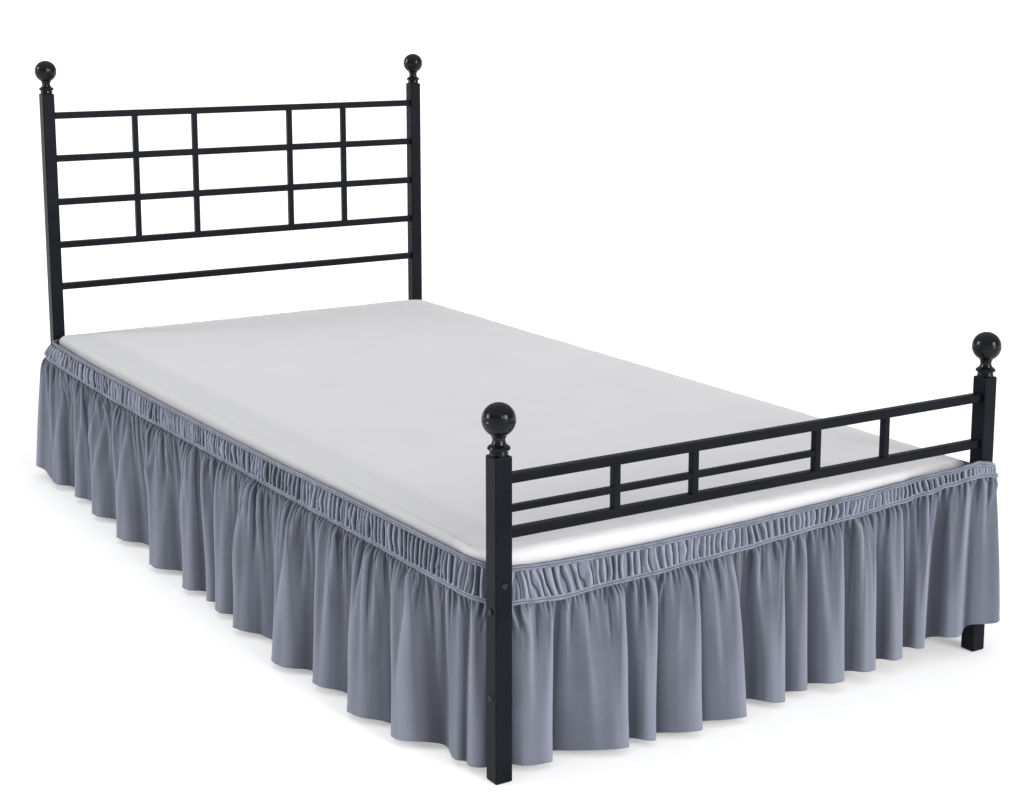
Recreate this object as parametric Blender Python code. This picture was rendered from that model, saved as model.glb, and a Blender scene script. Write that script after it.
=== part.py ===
"""Wrap-around bed skirt on a low metal bed with ball finials and a thin mattress.

Metres, Z up, floor at z = 0.  The foot of the bed is at -Y, the head at +Y.
Plan distances in the tables are measured from the axis of the foot left post:
"along" runs to the right on the foot and head sides and to the head on the long
sides, and "out" is how far the cloth stands outside the line of the post axes.
"""

import math

import bmesh
import bpy
import numpy as np
from mathutils import Matrix

# ----------------------------------------------------------------- bed frame
POST_SPACING_X = 0.960
POST_SPACING_Y = 1.970
POST_SIDE = 0.028
POST_EDGE = 0.0022
FOOT_BALL_Z = 0.5315
HEAD_BALL_Z = 0.9400
BALL_RADIUS = 0.0245
FINIAL_DROP = 0.0507
FINIAL_STEPS = 32
PIECE_GAP = 0.0003
CENTRE_X = 0.0080
CENTRE_Y = 0.0015
CLOTH_GAP = 0.0009

HEAD_RAIL = 0.015
HEAD_BAR = 0.0125
HEAD_RAIL_Z = (0.8385, 0.7395, 0.6385, 0.5380)
HEAD_LOW_RAIL_Z = 0.4400
HEAD_BAR_X = (0.208, 0.357, 0.607, 0.756)

FOOT_RAIL = 0.0145
FOOT_MID_RAIL = 0.0100
FOOT_BAR = 0.0120
FOOT_TOP_Z = 0.4457
FOOT_MID_Z = 0.4013
FOOT_LOW_Z = 0.3664
FOOT_BAR_X = (0.199, 0.343, 0.586, 0.733)

SIDE_RAIL_WIDTH = 0.020
SIDE_RAIL_LOW = 0.160
SIDE_RAIL_TOP = 0.200
SIDE_RAIL_START = 0.030
BRACKET_THICK = 0.003
BRACKET_LOW = 0.110
BRACKET_TOP = 0.210
BRACKET_REACH = 0.050
SLAT_WIDTH = 0.060
SLAT_THICK = 0.012
SLAT_Y = (0.11, 0.46, 0.81, 1.16, 1.51, 1.86)
BOLT_RADIUS = 0.0055
BOLT_HEAD = 0.0020
SIDE_BOLT_Z = (0.127, 0.255)
FRONT_BOLT_Z = 0.295

# ------------------------------------------------------------------ mattress
MATTRESS_LEFT = -0.0115
MATTRESS_RIGHT = 0.9585
MATTRESS_FOOT = 0.0270
MATTRESS_HEAD = 1.9430
MATTRESS_LOW = SIDE_RAIL_TOP + SLAT_THICK + 2 * PIECE_GAP
MATTRESS_TOP = 0.3300
MATTRESS_CROWN = 0.0080
MATTRESS_ROLL = 0.0140
MATTRESS_CORNERS = (0.052, 0.015, 0.045, 0.024)

# --------------------------------------------------------------------- skirt
BAND_CLOTH = 0.0015
TAPE_CLOTH = 0.0022
DROP_CLOTH = 0.0015
TOP_TAPE_HIGH = 0.0095
LOW_TAPE_HIGH = 0.0087
BAND_STEP = 0.090
FOLD_STEPS = 4
HEM_SWELL = 0.6

# Line of the band in plan, its outer face: straight runs joined by corners.
BAND_LEFT_AT_FOOT = -0.0170
BAND_LEFT_AT_HEAD = -0.0240
BAND_FOOT = 0.0200
BAND_RIGHT_AT_FOOT = 0.9796
BAND_RIGHT_AT_HEAD = 0.9660
BAND_HEAD = 1.9485
BAND_FRONT_OF_POST = -0.0196
SHIFT_START = 0.800
SHIFT_END = 0.925
CORNER_A = 0.060
CORNER_B = 0.0106
CORNER_HEAD = 0.030

# Heights of the top edge and of the lower tape's middle, and how far the lower
# tape stands out from the top edge.  A corner's along is its turn in degrees.
# side, along, top, low, lean
BAND_ROWS = (
    ("foot", 0.04, 0.3085, 0.2540, 0.003),
    ("foot", 0.07, 0.3060, 0.2510, 0.003),
    ("foot", 0.12, 0.3040, 0.2478, 0.003),
    ("foot", 0.19, 0.3026, 0.2522, 0.003),
    ("foot", 0.28, 0.3022, 0.2540, 0.003),
    ("foot", 0.37, 0.3036, 0.2588, 0.003),
    ("foot", 0.46, 0.3048, 0.2623, 0.003),
    ("foot", 0.53, 0.3069, 0.2675, 0.003),
    ("foot", 0.61, 0.3097, 0.2725, 0.003),
    ("foot", 0.68, 0.3123, 0.2763, 0.003),
    ("foot", 0.80, 0.3178, 0.2845, 0.003),
    ("foot", 0.84, 0.3250, 0.2935, 0.003),
    ("foot", 0.88, 0.3330, 0.3070, 0.002),
    ("foot", 0.91, 0.3395, 0.3145, 0.002),
    ("foot", 0.93, 0.3425, 0.3165, 0.002),
    ("foot", 0.955, 0.3385, 0.3155, 0.002),
    ("B", 15.0, 0.3320, 0.3110, 0.002),
    ("B", 41.0, 0.3225, 0.3030, 0.003),
    ("B", 90.0, 0.3185, 0.2970, 0.003),
    ("right", 0.04, 0.3180, 0.2920, 0.004),
    ("right", 0.14, 0.3165, 0.2790, 0.003),
    ("right", 0.5, 0.3130, 0.2650, 0.003),
    ("right", 1.4, 0.3110, 0.2615, 0.003),
    ("right", 1.90, 0.318, 0.266, 0.003),
    ("head", 0.90, 0.318, 0.267, 0.002),
    ("head", 0.50, 0.314, 0.264, 0.002),
    ("head", 0.06, 0.3190, 0.2680, 0.001),
    ("C", 30.0, 0.3200, 0.2740, 0.006),
    ("C", 72.0, 0.3205, 0.2870, 0.020),
    ("left", 1.9, 0.3200, 0.2860, 0.022),
    ("left", 1.85, 0.3178, 0.2765, 0.012),
    ("left", 1.77, 0.3144, 0.2695, 0.006),
    ("left", 1.65, 0.3123, 0.2643, 0.003),
    ("left", 1.53, 0.3118, 0.2625, 0.003),
    ("left", 1.41, 0.3113, 0.2626, 0.003),
    ("left", 1.29, 0.3106, 0.2627, 0.003),
    ("left", 1.17, 0.3108, 0.2637, 0.003),
    ("left", 1.05, 0.3113, 0.2650, 0.003),
    ("left", 0.93, 0.3120, 0.2652, 0.003),
    ("left", 0.81, 0.3133, 0.2650, 0.003),
    ("left", 0.69, 0.3142, 0.2642, 0.003),
    ("left", 0.57, 0.3165, 0.2650, 0.003),
    ("left", 0.45, 0.3188, 0.2657, 0.003),
    ("left", 0.33, 0.3200, 0.2663, 0.003),
    ("left", 0.21, 0.3213, 0.2653, 0.003),
    ("left", 0.09, 0.3222, 0.2662, 0.003),
    ("A", 12.0, 0.3212, 0.2645, 0.003),
    ("A", 30.0, 0.3185, 0.2615, 0.003),
    ("A", 65.0, 0.3110, 0.2550, 0.003),
)

# Heights of the hem.  side, along, z
HEM_ROWS = (
    ("foot", 0.04, 0.012),
    ("foot", 0.52, 0.012),
    ("foot", 0.70, 0.023),
    ("foot", 0.83, 0.033),
    ("foot", 0.89, 0.044),
    ("foot", 0.93, 0.058),
    ("foot", 0.97, 0.054),
    ("right", 0.04, 0.050),
    ("right", 0.20, 0.020),
    ("right", 1.90, 0.014),
    ("head", 0.50, 0.014),
    ("left", 1.93, 0.030),
    ("left", 1.81, 0.014),
    ("left", 1.40, 0.012),
    ("left", 0.09, 0.012),
)

# Folds of the drop at the hem: one row for a fold, its crest and the dip after it.
# along of crest, out of crest, along of dip, out of dip
FOOT_FOLDS = (
    (0.080, 0.010, 0.108, -0.020),
    (0.205, 0.033, 0.230, 0.008),
    (0.258, 0.031, 0.276, 0.010),
    (0.328, 0.043, 0.359, 0.018),
    (0.422, 0.036, 0.470, -0.014),
    (0.517, 0.022, 0.547, -0.002),
    (0.571, 0.014, 0.590, -0.002),
    (0.640, 0.028, 0.670, 0.003),
    (0.706, 0.025, 0.745, -0.004),
    (0.770, 0.020, 0.808, -0.004),
    (0.832, 0.018, 0.867, 0.002),
    (0.897, 0.032, 0.930, 0.026),
)
RIGHT_FOLDS = (
    (0.095, 0.062, 0.150, 0.040),
    (0.215, 0.073, 0.275, 0.042),
    (0.340, 0.078, 0.405, 0.046),
    (0.470, 0.075, 0.520, 0.044),
    (0.600, 0.082, 0.690, 0.048),
    (0.760, 0.083, 0.815, 0.052),
    (0.870, 0.078, 0.930, 0.046),
    (1.010, 0.082, 1.090, 0.047),
    (1.170, 0.080, 1.230, 0.044),
    (1.300, 0.077, 1.385, 0.042),
    (1.460, 0.074, 1.520, 0.038),
    (1.590, 0.070, 1.655, 0.036),
    (1.720, 0.066, 1.780, 0.034),
    (1.835, 0.060, 1.885, 0.030),
)
HEAD_FOLDS = (
    (0.860, 0.034, 0.800, 0.004),
    (0.735, 0.038, 0.680, 0.006),
    (0.615, 0.036, 0.555, 0.002),
    (0.500, 0.040, 0.440, 0.006),
    (0.380, 0.036, 0.320, 0.002),
    (0.260, 0.038, 0.205, 0.004),
    (0.150, 0.032, 0.095, 0.002),
)
LEFT_FOLDS = (
    (1.812, 0.068, 1.770, 0.036),
    (1.678, 0.066, 1.640, 0.042),
    (1.530, 0.073, 1.468, 0.045),
    (1.335, 0.085, 1.270, 0.050),
    (1.140, 0.093, 1.070, 0.054),
    (0.980, 0.087, 0.946, 0.060),
    (0.902, 0.076, 0.880, 0.066),
    (0.826, 0.086, 0.800, 0.066),
    (0.735, 0.092, 0.635, 0.064),
    (0.545, 0.099, 0.488, 0.058),
    (0.432, 0.081, 0.372, 0.056),
    (0.305, 0.087, 0.225, 0.053),
    (0.178, 0.072, 0.120, 0.017),
)

# Where the hem stands off the band line round a corner.  turn in degrees, off
CORNER_A_LEFT = ((6.0, 0.016), (30.0, 0.018), (45.0, 0.015), (55.0, 0.008))
CORNER_A_FOOT = ((70.0, 0.004), (79.0, 0.010), (90.0, 0.021))
CORNER_B_TURN = ((0.0, 0.016), (45.0, 0.021), (90.0, 0.019))
CORNER_D_TURN = ((20.0, 0.030), (40.0, 0.018), (57.0, 0.008))
CORNER_C_TURN = ((6.0, 0.001), (22.0, 0.002), (45.0, 0.020), (70.0, 0.054))


def clear_scene():
    """Remove whatever the file starts with."""
    for item in list(bpy.data.objects):
        bpy.data.objects.remove(item, do_unlink=True)


def material(name, colour, roughness, metallic=0.0, coat=0.0, sheen=0.0):
    """A plain Principled material."""
    made = bpy.data.materials.new(name)
    made.use_nodes = True
    shader = made.node_tree.nodes["Principled BSDF"]
    shader.inputs["Base Color"].default_value = (*colour, 1.0)
    shader.inputs["Roughness"].default_value = roughness
    shader.inputs["Metallic"].default_value = metallic
    shader.inputs["Coat Weight"].default_value = coat
    shader.inputs["Sheen Weight"].default_value = sheen
    made.diffuse_color = (*colour, 1.0)
    return made


def place(x, y):
    """Turn distances from the foot left post into the frame centred on the whole bed."""
    return x - POST_SPACING_X / 2 + CENTRE_X, y - POST_SPACING_Y / 2 + CENTRE_Y


def add_object(name, mesh_data, surface, collection, sharp_angle=None):
    """Put a finished bmesh into the collection as one named object."""
    bmesh.ops.recalc_face_normals(mesh_data, faces=mesh_data.faces)
    mesh = bpy.data.meshes.new(name)
    mesh_data.to_mesh(mesh)
    mesh_data.free()
    mesh.materials.append(surface)
    made = bpy.data.objects.new(name, mesh)
    collection.objects.link(made)
    if sharp_angle is not None:
        mesh.shade_smooth()
        mesh.set_sharp_from_angle(angle=math.radians(sharp_angle))
    return made


def box_mesh(low, high, edge=0.0):
    """A box between two corners of the post frame, its edges eased by edge."""
    made = bmesh.new()
    bmesh.ops.create_cube(made, size=1.0)
    low_x, low_y = place(low[0], low[1])
    high_x, high_y = place(high[0], high[1])
    size = (high_x - low_x, high_y - low_y, high[2] - low[2])
    middle = ((low_x + high_x) / 2, (low_y + high_y) / 2, (low[2] + high[2]) / 2)
    bmesh.ops.scale(made, vec=size, verts=made.verts)
    bmesh.ops.translate(made, vec=middle, verts=made.verts)
    if edge > 0.0:
        bmesh.ops.bevel(made, geom=made.edges[:], offset=edge, segments=2,
                        profile=0.5, affect="EDGES")
    return made


def box(name, low, high, surface, collection, edge=0.0):
    """A box-shaped piece."""
    return add_object(name, box_mesh(low, high, edge), surface, collection, 40)


def unite(target, others):
    """Weld bars into the target with exact unions and drop the tools."""
    for other in others:
        step = target.modifiers.new("weld", "BOOLEAN")
        step.operation = "UNION"
        step.solver = "EXACT"
        step.object = other
        depsgraph = bpy.context.evaluated_depsgraph_get()
        welded = bpy.data.meshes.new_from_object(target.evaluated_get(depsgraph))
        target.modifiers.clear()
        target.data = welded
        bpy.data.objects.remove(other, do_unlink=True)
    target.data.shade_smooth()
    target.data.set_sharp_from_angle(angle=math.radians(40))
    return target


def turned(name, profile, centre, surface, collection):
    """A solid of revolution about a vertical axis from (radius, z) rows."""
    made = bmesh.new()
    x, y = place(centre[0], centre[1])
    rings = []
    for radius, height in profile:
        z = centre[2] + height
        if radius == 0.0:
            rings.append([made.verts.new((x, y, z))])
            continue
        ring = []
        for step in range(FINIAL_STEPS):
            turn = 2 * math.pi * step / FINIAL_STEPS
            ring.append(made.verts.new((x + radius * math.cos(turn),
                                        y + radius * math.sin(turn), z)))
        rings.append(ring)
    for lower, upper in zip(rings, rings[1:]):
        for step in range(FINIAL_STEPS):
            after = (step + 1) % FINIAL_STEPS
            if len(lower) == 1:
                made.faces.new((lower[0], upper[after], upper[step]))
            elif len(upper) == 1:
                made.faces.new((lower[step], lower[after], upper[0]))
            else:
                made.faces.new((lower[step], lower[after], upper[after], upper[step]))
    return add_object(name, made, surface, collection, 38)


def finial_profile():
    """Radius and height rows from the foot of the finial to the top of its ball."""
    rows = [(0.0, -FINIAL_DROP), (0.0128, -FINIAL_DROP), (0.0136, -0.0480),
            (0.0128, -0.0440), (0.0160, -0.0422), (0.0168, -0.0402), (0.0155, -0.0380),
            (0.0108, -0.0345), (0.0090, -0.0290), (0.0102, -0.0245)]
    for turn in (-60, -48, -36, -24, -12, -3):
        rows.append((BALL_RADIUS * math.cos(math.radians(turn)),
                     BALL_RADIUS * math.sin(math.radians(turn))))
    rows.append((BALL_RADIUS - 0.0007, 0.0))
    for turn in (3, 14, 26, 38, 50, 62, 76):
        rows.append((BALL_RADIUS * math.cos(math.radians(turn)),
                     BALL_RADIUS * math.sin(math.radians(turn))))
    rows.append((0.0, BALL_RADIUS))
    return rows


# ----------------------------------------------------------- the band's line
def foot_line(x):
    """Where the band's outer face lies on the foot side, easing out round the post."""
    part = min(max((x - SHIFT_START) / (SHIFT_END - SHIFT_START), 0.0), 1.0)
    ease = part * part * (3 - 2 * part)
    return BAND_FOOT + (BAND_FRONT_OF_POST - BAND_FOOT) * ease


def left_line(y):
    """Where the band's outer face lies on the left side."""
    part = y / BAND_HEAD
    return BAND_LEFT_AT_FOOT + (BAND_LEFT_AT_HEAD - BAND_LEFT_AT_FOOT) * part


def right_line(y):
    """Where the band's outer face lies on the right side."""
    part = y / BAND_HEAD
    return BAND_RIGHT_AT_FOOT + (BAND_RIGHT_AT_HEAD - BAND_RIGHT_AT_FOOT) * part


def corner_centres():
    """Centre and radius of each corner of the band's line, by name."""
    a = (BAND_LEFT_AT_FOOT + CORNER_A, BAND_FOOT + CORNER_A)
    b = (BAND_RIGHT_AT_FOOT - CORNER_B, BAND_FRONT_OF_POST + CORNER_B)
    d = (BAND_RIGHT_AT_HEAD - CORNER_HEAD, BAND_HEAD - CORNER_HEAD)
    c = (BAND_LEFT_AT_HEAD + CORNER_HEAD, BAND_HEAD - CORNER_HEAD)
    return {"A": (a, CORNER_A, 180.0), "B": (b, CORNER_B, 270.0),
            "D": (d, CORNER_HEAD, 0.0), "C": (c, CORNER_HEAD, 90.0)}


CORNERS = corner_centres()


def on_band(side, along):
    """Point and outward direction of the band's line for a side and a distance.

    For a corner the side is its letter and along is the turn in degrees from its
    start, going round the bed anticlockwise as seen from above.
    """
    if side == "foot":
        ahead = foot_line(along + 0.002) - foot_line(along - 0.002)
        size = math.hypot(0.004, ahead)
        return (along, foot_line(along)), (ahead / size, -0.004 / size)
    if side == "right":
        return (right_line(along), along), (1.0, 0.0)
    if side == "head":
        return (along, BAND_HEAD), (0.0, 1.0)
    if side == "left":
        return (left_line(along), along), (-1.0, 0.0)
    centre, radius, start = CORNERS[side]
    turn = math.radians(start + along)
    out = (math.cos(turn), math.sin(turn))
    return (centre[0] + radius * out[0], centre[1] + radius * out[1]), out


SIDE_ORDER = ("foot", "B", "right", "D", "head", "C", "left", "A")
SIDE_ENDS = {"foot": (CORNERS["A"][0][0], CORNERS["B"][0][0]), "B": (0.0, 90.0),
             "right": (CORNERS["B"][0][1], CORNERS["D"][0][1]), "D": (0.0, 90.0),
             "head": (CORNERS["D"][0][0], CORNERS["C"][0][0]), "C": (0.0, 90.0),
             "left": (CORNERS["C"][0][1], CORNERS["A"][0][1]), "A": (0.0, 90.0)}


def run_length(side, start, end):
    """Length of a stretch of the band's line, whose ends are distances or turns."""
    if side in CORNERS:
        return abs(end - start) * math.radians(1) * CORNERS[side][1]
    return abs(end - start)


def walk_order(side, along):
    """Distance round the bed from the start of the foot side, anticlockwise."""
    walked = 0.0
    for passed in SIDE_ORDER[:SIDE_ORDER.index(side)]:
        walked += run_length(passed, *SIDE_ENDS[passed])
    return walked + run_length(side, SIDE_ENDS[side][0], along)


WALK_ROUND = sum(run_length(side, *SIDE_ENDS[side]) for side in SIDE_ORDER)


def look_up(rows, side, along, column):
    """Read one column of a table of heights, easing between its rows."""
    points = sorted((walk_order(row[0], row[1]), row[column]) for row in rows)
    places = [p[0] for p in points]
    values = [p[1] for p in points]
    here = walk_order(side, along)
    places = places + [places[0] + WALK_ROUND]
    values = values + [values[0]]
    if here < places[0]:
        here += WALK_ROUND
    at = min(max(int(np.searchsorted(places, here)), 1), len(places) - 1)
    part = (here - places[at - 1]) / (places[at] - places[at - 1])
    ease = part * part * (3 - 2 * part)
    return values[at - 1] + (values[at] - values[at - 1]) * ease


# ------------------------------------------------------------- cloth as loft
def plan_normals(points, closed):
    """Outward direction at each point of a plan line that runs anticlockwise."""
    count = len(points)
    made = []
    for at in range(count):
        before = points[(at - 1) % count] if closed or at > 0 else points[at]
        after = points[(at + 1) % count] if closed or at < count - 1 else points[at]
        run = (after[0] - before[0], after[1] - before[1])
        size = math.hypot(*run)
        made.append((run[1] / size, -run[0] / size))
    return made


def sheet_solid(name, levels, thick, closed, surface, collection):
    """A sheet of even thickness lofted through levels, each a line of (x, y, z).

    The given lines are the outer face.  The inner face lies thick inside it.
    """
    made = bmesh.new()
    outer = []
    inner = []
    for level in levels:
        normals = plan_normals(level, closed)
        outer_row = []
        inner_row = []
        for (x, y, z), (nx, ny) in zip(level, normals):
            out_x, out_y = place(x, y)
            in_x, in_y = place(x - nx * thick, y - ny * thick)
            outer_row.append(made.verts.new((out_x, out_y, z)))
            inner_row.append(made.verts.new((in_x, in_y, z)))
        outer.append(outer_row)
        inner.append(inner_row)
    count = len(levels[0])
    spans = count if closed else count - 1
    for column in range(spans):
        after = (column + 1) % count
        for low, high in zip(range(len(levels)), range(1, len(levels))):
            made.faces.new((outer[low][column], outer[high][column],
                            outer[high][after], outer[low][after]))
            made.faces.new((inner[low][column], inner[low][after],
                            inner[high][after], inner[high][column]))
        made.faces.new((outer[0][column], outer[0][after],
                        inner[0][after], inner[0][column]))
        made.faces.new((outer[-1][column], inner[-1][column],
                        inner[-1][after], outer[-1][after]))
    if not closed:
        for column in (0, count - 1):
            for low, high in zip(range(len(levels)), range(1, len(levels))):
                made.faces.new((outer[low][column], inner[low][column],
                                inner[high][column], outer[high][column]))
    return add_object(name, made, surface, collection, 60)


def band_stations():
    """Stations (side, along) all the way round for the band and its tapes."""
    made = []

    def run(side, start, end, fewest=1):
        steps = max(fewest, round(abs(end - start) / BAND_STEP))
        for step in range(steps):
            made.append((side, start + (end - start) * step / steps))

    def turn(corner, steps):
        for step in range(steps):
            made.append((corner, 90.0 * step / steps))

    (a_x, a_y), (b_x, b_y) = CORNERS["A"][0], CORNERS["B"][0]
    (c_x, c_y), (d_x, d_y) = CORNERS["C"][0], CORNERS["D"][0]
    run("foot", a_x, SHIFT_START)
    run("foot", SHIFT_START, SHIFT_END, 6)
    run("foot", SHIFT_END, b_x, 3)
    turn("B", 5)
    run("right", b_y, d_y)
    turn("D", 6)
    run("head", d_x, c_x)
    turn("C", 6)
    run("left", c_y, a_y)
    turn("A", 8)
    return made


def band_table(stations):
    """Top, low and lean at the band's own stations, with the distance round."""
    rows = []
    for side, along in stations:
        heights = [look_up(BAND_ROWS, side, along, column) for column in (2, 3, 4)]
        rows.append((walk_order(side, along), *heights))
    first = rows[0]
    rows.append((first[0] + WALK_ROUND, *first[1:]))
    return np.array(rows)


def band_heights(side, along):
    """Top, low and lean at a station, straight between the band's own stations."""
    here = walk_order(side, along)
    return [np.interp(here, BAND_TABLE[:, 0], BAND_TABLE[:, column]) for column in (1, 2, 3)]


def band_levels(stations, top_down):
    """Lines of a ring between two fractions of the heading.

    Each row of top_down is (from_low, drop, stand): from_low picks the lower tape's
    middle (1) or the top edge (0) as the base, drop is how far below that base the
    line lies, and stand is how far it stands out of the band's own face.
    """
    levels = []
    for from_low, drop, stand in top_down:
        line = []
        for side, along in stations:
            (x, y), (nx, ny) = on_band(side, along)
            top, low, lean = band_heights(side, along)
            z = (low if from_low else top) - drop
            part = (top - z) / (top - low)
            off = lean * part + stand
            line.append((x + nx * off, y + ny * off, z))
        levels.append(line)
    return levels


BAND_TABLE = band_table(band_stations())


def out_to_off(side, along, out):
    """Change "out of the post axes" into "off the band's line" for a side."""
    (x, y), _ = on_band(side, along)
    base = {"foot": -y, "right": x - POST_SPACING_X, "left": -x,
            "head": y - POST_SPACING_Y}[side]
    return out - base


def fold_marks(side, rows):
    """Crest and dip marks of one side as (side, along, off)."""
    made = []
    for crest_at, crest_out, dip_at, dip_out in rows:
        made.append((side, crest_at, out_to_off(side, crest_at, crest_out)))
        made.append((side, dip_at, out_to_off(side, dip_at, dip_out)))
    return made


def corner_marks(corner, rows):
    """Marks round one corner."""
    return [(corner, turn, off) for turn, off in rows]


def same_run(first, second):
    """Stations between two marks, crossing from a side onto a corner if need be."""
    pieces = []
    at = SIDE_ORDER.index(first[0])
    start = first[1]
    while True:
        side = SIDE_ORDER[at]
        end = second[1] if side == second[0] else SIDE_ENDS[side][1]
        pieces.append((side, start, end, run_length(side, start, end)))
        if side == second[0]:
            break
        at = (at + 1) % len(SIDE_ORDER)
        start = SIDE_ENDS[SIDE_ORDER[at]][0]
    return pieces


def fold_stations(marks):
    """Stations (side, along, off) between marks, easing from crest to dip."""
    made = []
    for first, second in zip(marks, marks[1:]):
        pieces = same_run(first, second)
        whole = sum(piece[3] for piece in pieces)
        for step in range(FOLD_STEPS):
            part = step / FOLD_STEPS
            ease = (1 - math.cos(math.pi * part)) / 2
            off = first[2] + (second[2] - first[2]) * ease
            left = part * whole
            for side, start, end, size in pieces:
                if left <= size or (side, start, end, size) == pieces[-1]:
                    share = left / size if size > 0 else 0.0
                    made.append((side, start + (end - start) * share, off))
                    break
                left -= size
    made.append(marks[-1])
    return made


def drop_levels(stations):
    """Lines of the gathered drop from its top, under the lower tape, to the hem."""
    offs = np.array([row[2] for row in stations])
    wide = np.ones(25) / 25
    padded = np.concatenate([np.repeat(offs[:1], 12), offs, np.repeat(offs[-1:], 12)])
    mean = np.convolve(padded, wide, mode="valid")
    levels = []
    for part in (0.0, 0.30, 0.64, 1.0):
        line = []
        for (side, along, off), level_mean in zip(stations, mean):
            (x, y), (nx, ny) = on_band(side, along)
            _, low, lean = band_heights(side, along)
            top = low - LOW_TAPE_HIGH / 2 - CLOTH_GAP
            hem = look_up(HEM_ROWS, side, along, 2)
            swell = part ** HEM_SWELL
            wave = part ** 0.85
            here = lean + (level_mean - lean) * swell + (off - level_mean) * wave
            line.append((x + nx * here, y + ny * here, top + (hem - top) * part))
        levels.append(line)
    return levels


# -------------------------------------------------------------------- pieces
def add_posts(surface, gloss, collection):
    """Four square posts with their ball finials."""
    half = POST_SIDE / 2
    for label, x, y, ball in (("foot_left", 0.0, 0.0, FOOT_BALL_Z),
                              ("foot_right", POST_SPACING_X, 0.0, FOOT_BALL_Z),
                              ("head_left", 0.0, POST_SPACING_Y, HEAD_BALL_Z),
                              ("head_right", POST_SPACING_X, POST_SPACING_Y, HEAD_BALL_Z)):
        top = ball - FINIAL_DROP - PIECE_GAP
        box(f"post_{label}", (x - half, y - half, 0.0), (x + half, y + half, top),
            surface, collection, POST_EDGE)
        turned(f"finial_{label}", finial_profile(), (x, y, ball), gloss, collection)


def bar_x(name, start, end, y, z, side, surface, collection):
    """A square bar along X."""
    half = side / 2
    return box(name, (start, y - half, z - half), (end, y + half, z + half),
               surface, collection, side * 0.12)


def bar_z(name, x, y, low, high, side, surface, collection):
    """A square bar along Z."""
    half = side / 2
    return box(name, (x - half, y - half, low), (x + half, y + half, high),
               surface, collection, side * 0.12)


def add_head_panel(surface, collection):
    """Welded headboard grille, and the separate rail below it."""
    start = POST_SIDE / 2 + PIECE_GAP
    end = POST_SPACING_X - start
    y = POST_SPACING_Y
    rails = [bar_x(f"rail_{at}", start, end, y, z, HEAD_RAIL, surface, collection)
             for at, z in enumerate(HEAD_RAIL_Z)]
    bars = [bar_z(f"bar_{at}", x, y, HEAD_RAIL_Z[-1], HEAD_RAIL_Z[0], HEAD_BAR,
                  surface, collection) for at, x in enumerate(HEAD_BAR_X)]
    panel = unite(bars[0], rails + bars[1:])
    panel.name = "head_panel"
    bar_x("head_low_rail", start, end, y, HEAD_LOW_RAIL_Z, HEAD_RAIL, surface, collection)


def add_foot_panel(surface, collection):
    """Welded footboard: two rails, four uprights and a middle rail to the third."""
    start = POST_SIDE / 2 + PIECE_GAP
    end = POST_SPACING_X - start
    parts = [bar_x("rail_top", start, end, 0.0, FOOT_TOP_Z, FOOT_RAIL, surface, collection),
             bar_x("rail_low", start, end, 0.0, FOOT_LOW_Z, FOOT_RAIL, surface, collection),
             bar_x("rail_mid", start, FOOT_BAR_X[2], 0.0, FOOT_MID_Z, FOOT_MID_RAIL,
                   surface, collection)]
    bars = [bar_z(f"bar_{at}", x, 0.0, FOOT_LOW_Z, FOOT_TOP_Z, FOOT_BAR, surface,
                  collection) for at, x in enumerate(FOOT_BAR_X)]
    panel = unite(bars[0], parts + bars[1:])
    panel.name = "foot_panel"


def add_base(surface, wood, collection):
    """Side rails on bracket plates, end rails and slats under the mattress."""
    half = POST_SIDE / 2
    plate = half + PIECE_GAP
    rail = plate + BRACKET_THICK + PIECE_GAP
    far_y = POST_SPACING_Y - SIDE_RAIL_START
    for label, mirror in (("left", False), ("right", True)):
        def across(low, high):
            if mirror:
                return POST_SPACING_X - high, POST_SPACING_X - low
            return low, high
        low_x, high_x = across(plate, plate + BRACKET_THICK)
        for end, low_y, high_y in (("foot", 0.0, BRACKET_REACH),
                                   ("head", POST_SPACING_Y - BRACKET_REACH,
                                    POST_SPACING_Y)):
            box(f"bracket_{end}_{label}", (low_x, low_y, BRACKET_LOW),
                (high_x, high_y, BRACKET_TOP), surface, collection)
        low_x, high_x = across(rail, rail + SIDE_RAIL_WIDTH)
        box(f"side_rail_{label}", (low_x, SIDE_RAIL_START, SIDE_RAIL_LOW),
            (high_x, far_y, SIDE_RAIL_TOP), surface, collection, 0.0015)
    inside = rail + SIDE_RAIL_WIDTH + PIECE_GAP
    for label, y in (("foot", SIDE_RAIL_START + 0.006), ("head", far_y - 0.026)):
        box(f"end_rail_{label}", (inside, y, SIDE_RAIL_LOW),
            (POST_SPACING_X - inside, y + SIDE_RAIL_WIDTH, SIDE_RAIL_TOP),
            surface, collection, 0.0015)
    low = SIDE_RAIL_TOP + PIECE_GAP
    for at, y in enumerate(SLAT_Y):
        box(f"slat_{at + 1}", (rail, y - SLAT_WIDTH / 2, low),
            (POST_SPACING_X - rail, y + SLAT_WIDTH / 2, low + SLAT_THICK),
            wood, collection, 0.0015)


def bolt(name, centre, axis, surface, collection):
    """A low round bolt head on a post's face, its axis along X or Y."""
    made = bmesh.new()
    bmesh.ops.create_cone(made, cap_ends=True, segments=20, radius1=BOLT_RADIUS,
                          radius2=BOLT_RADIUS * 0.82, depth=BOLT_HEAD)
    x, y = place(centre[0], centre[1])
    turn_axis, angle = {"-x": ("Y", -90), "+x": ("Y", 90), "-y": ("X", 90)}[axis]
    spin = {"X": (1, 0, 0), "Y": (0, 1, 0)}[turn_axis]
    bmesh.ops.rotate(made, cent=(0, 0, 0), verts=made.verts,
                     matrix=Matrix.Rotation(math.radians(angle), 3, spin))
    bmesh.ops.translate(made, vec=(x, y, centre[2]), verts=made.verts)
    return add_object(name, made, surface, collection, 40)


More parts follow.
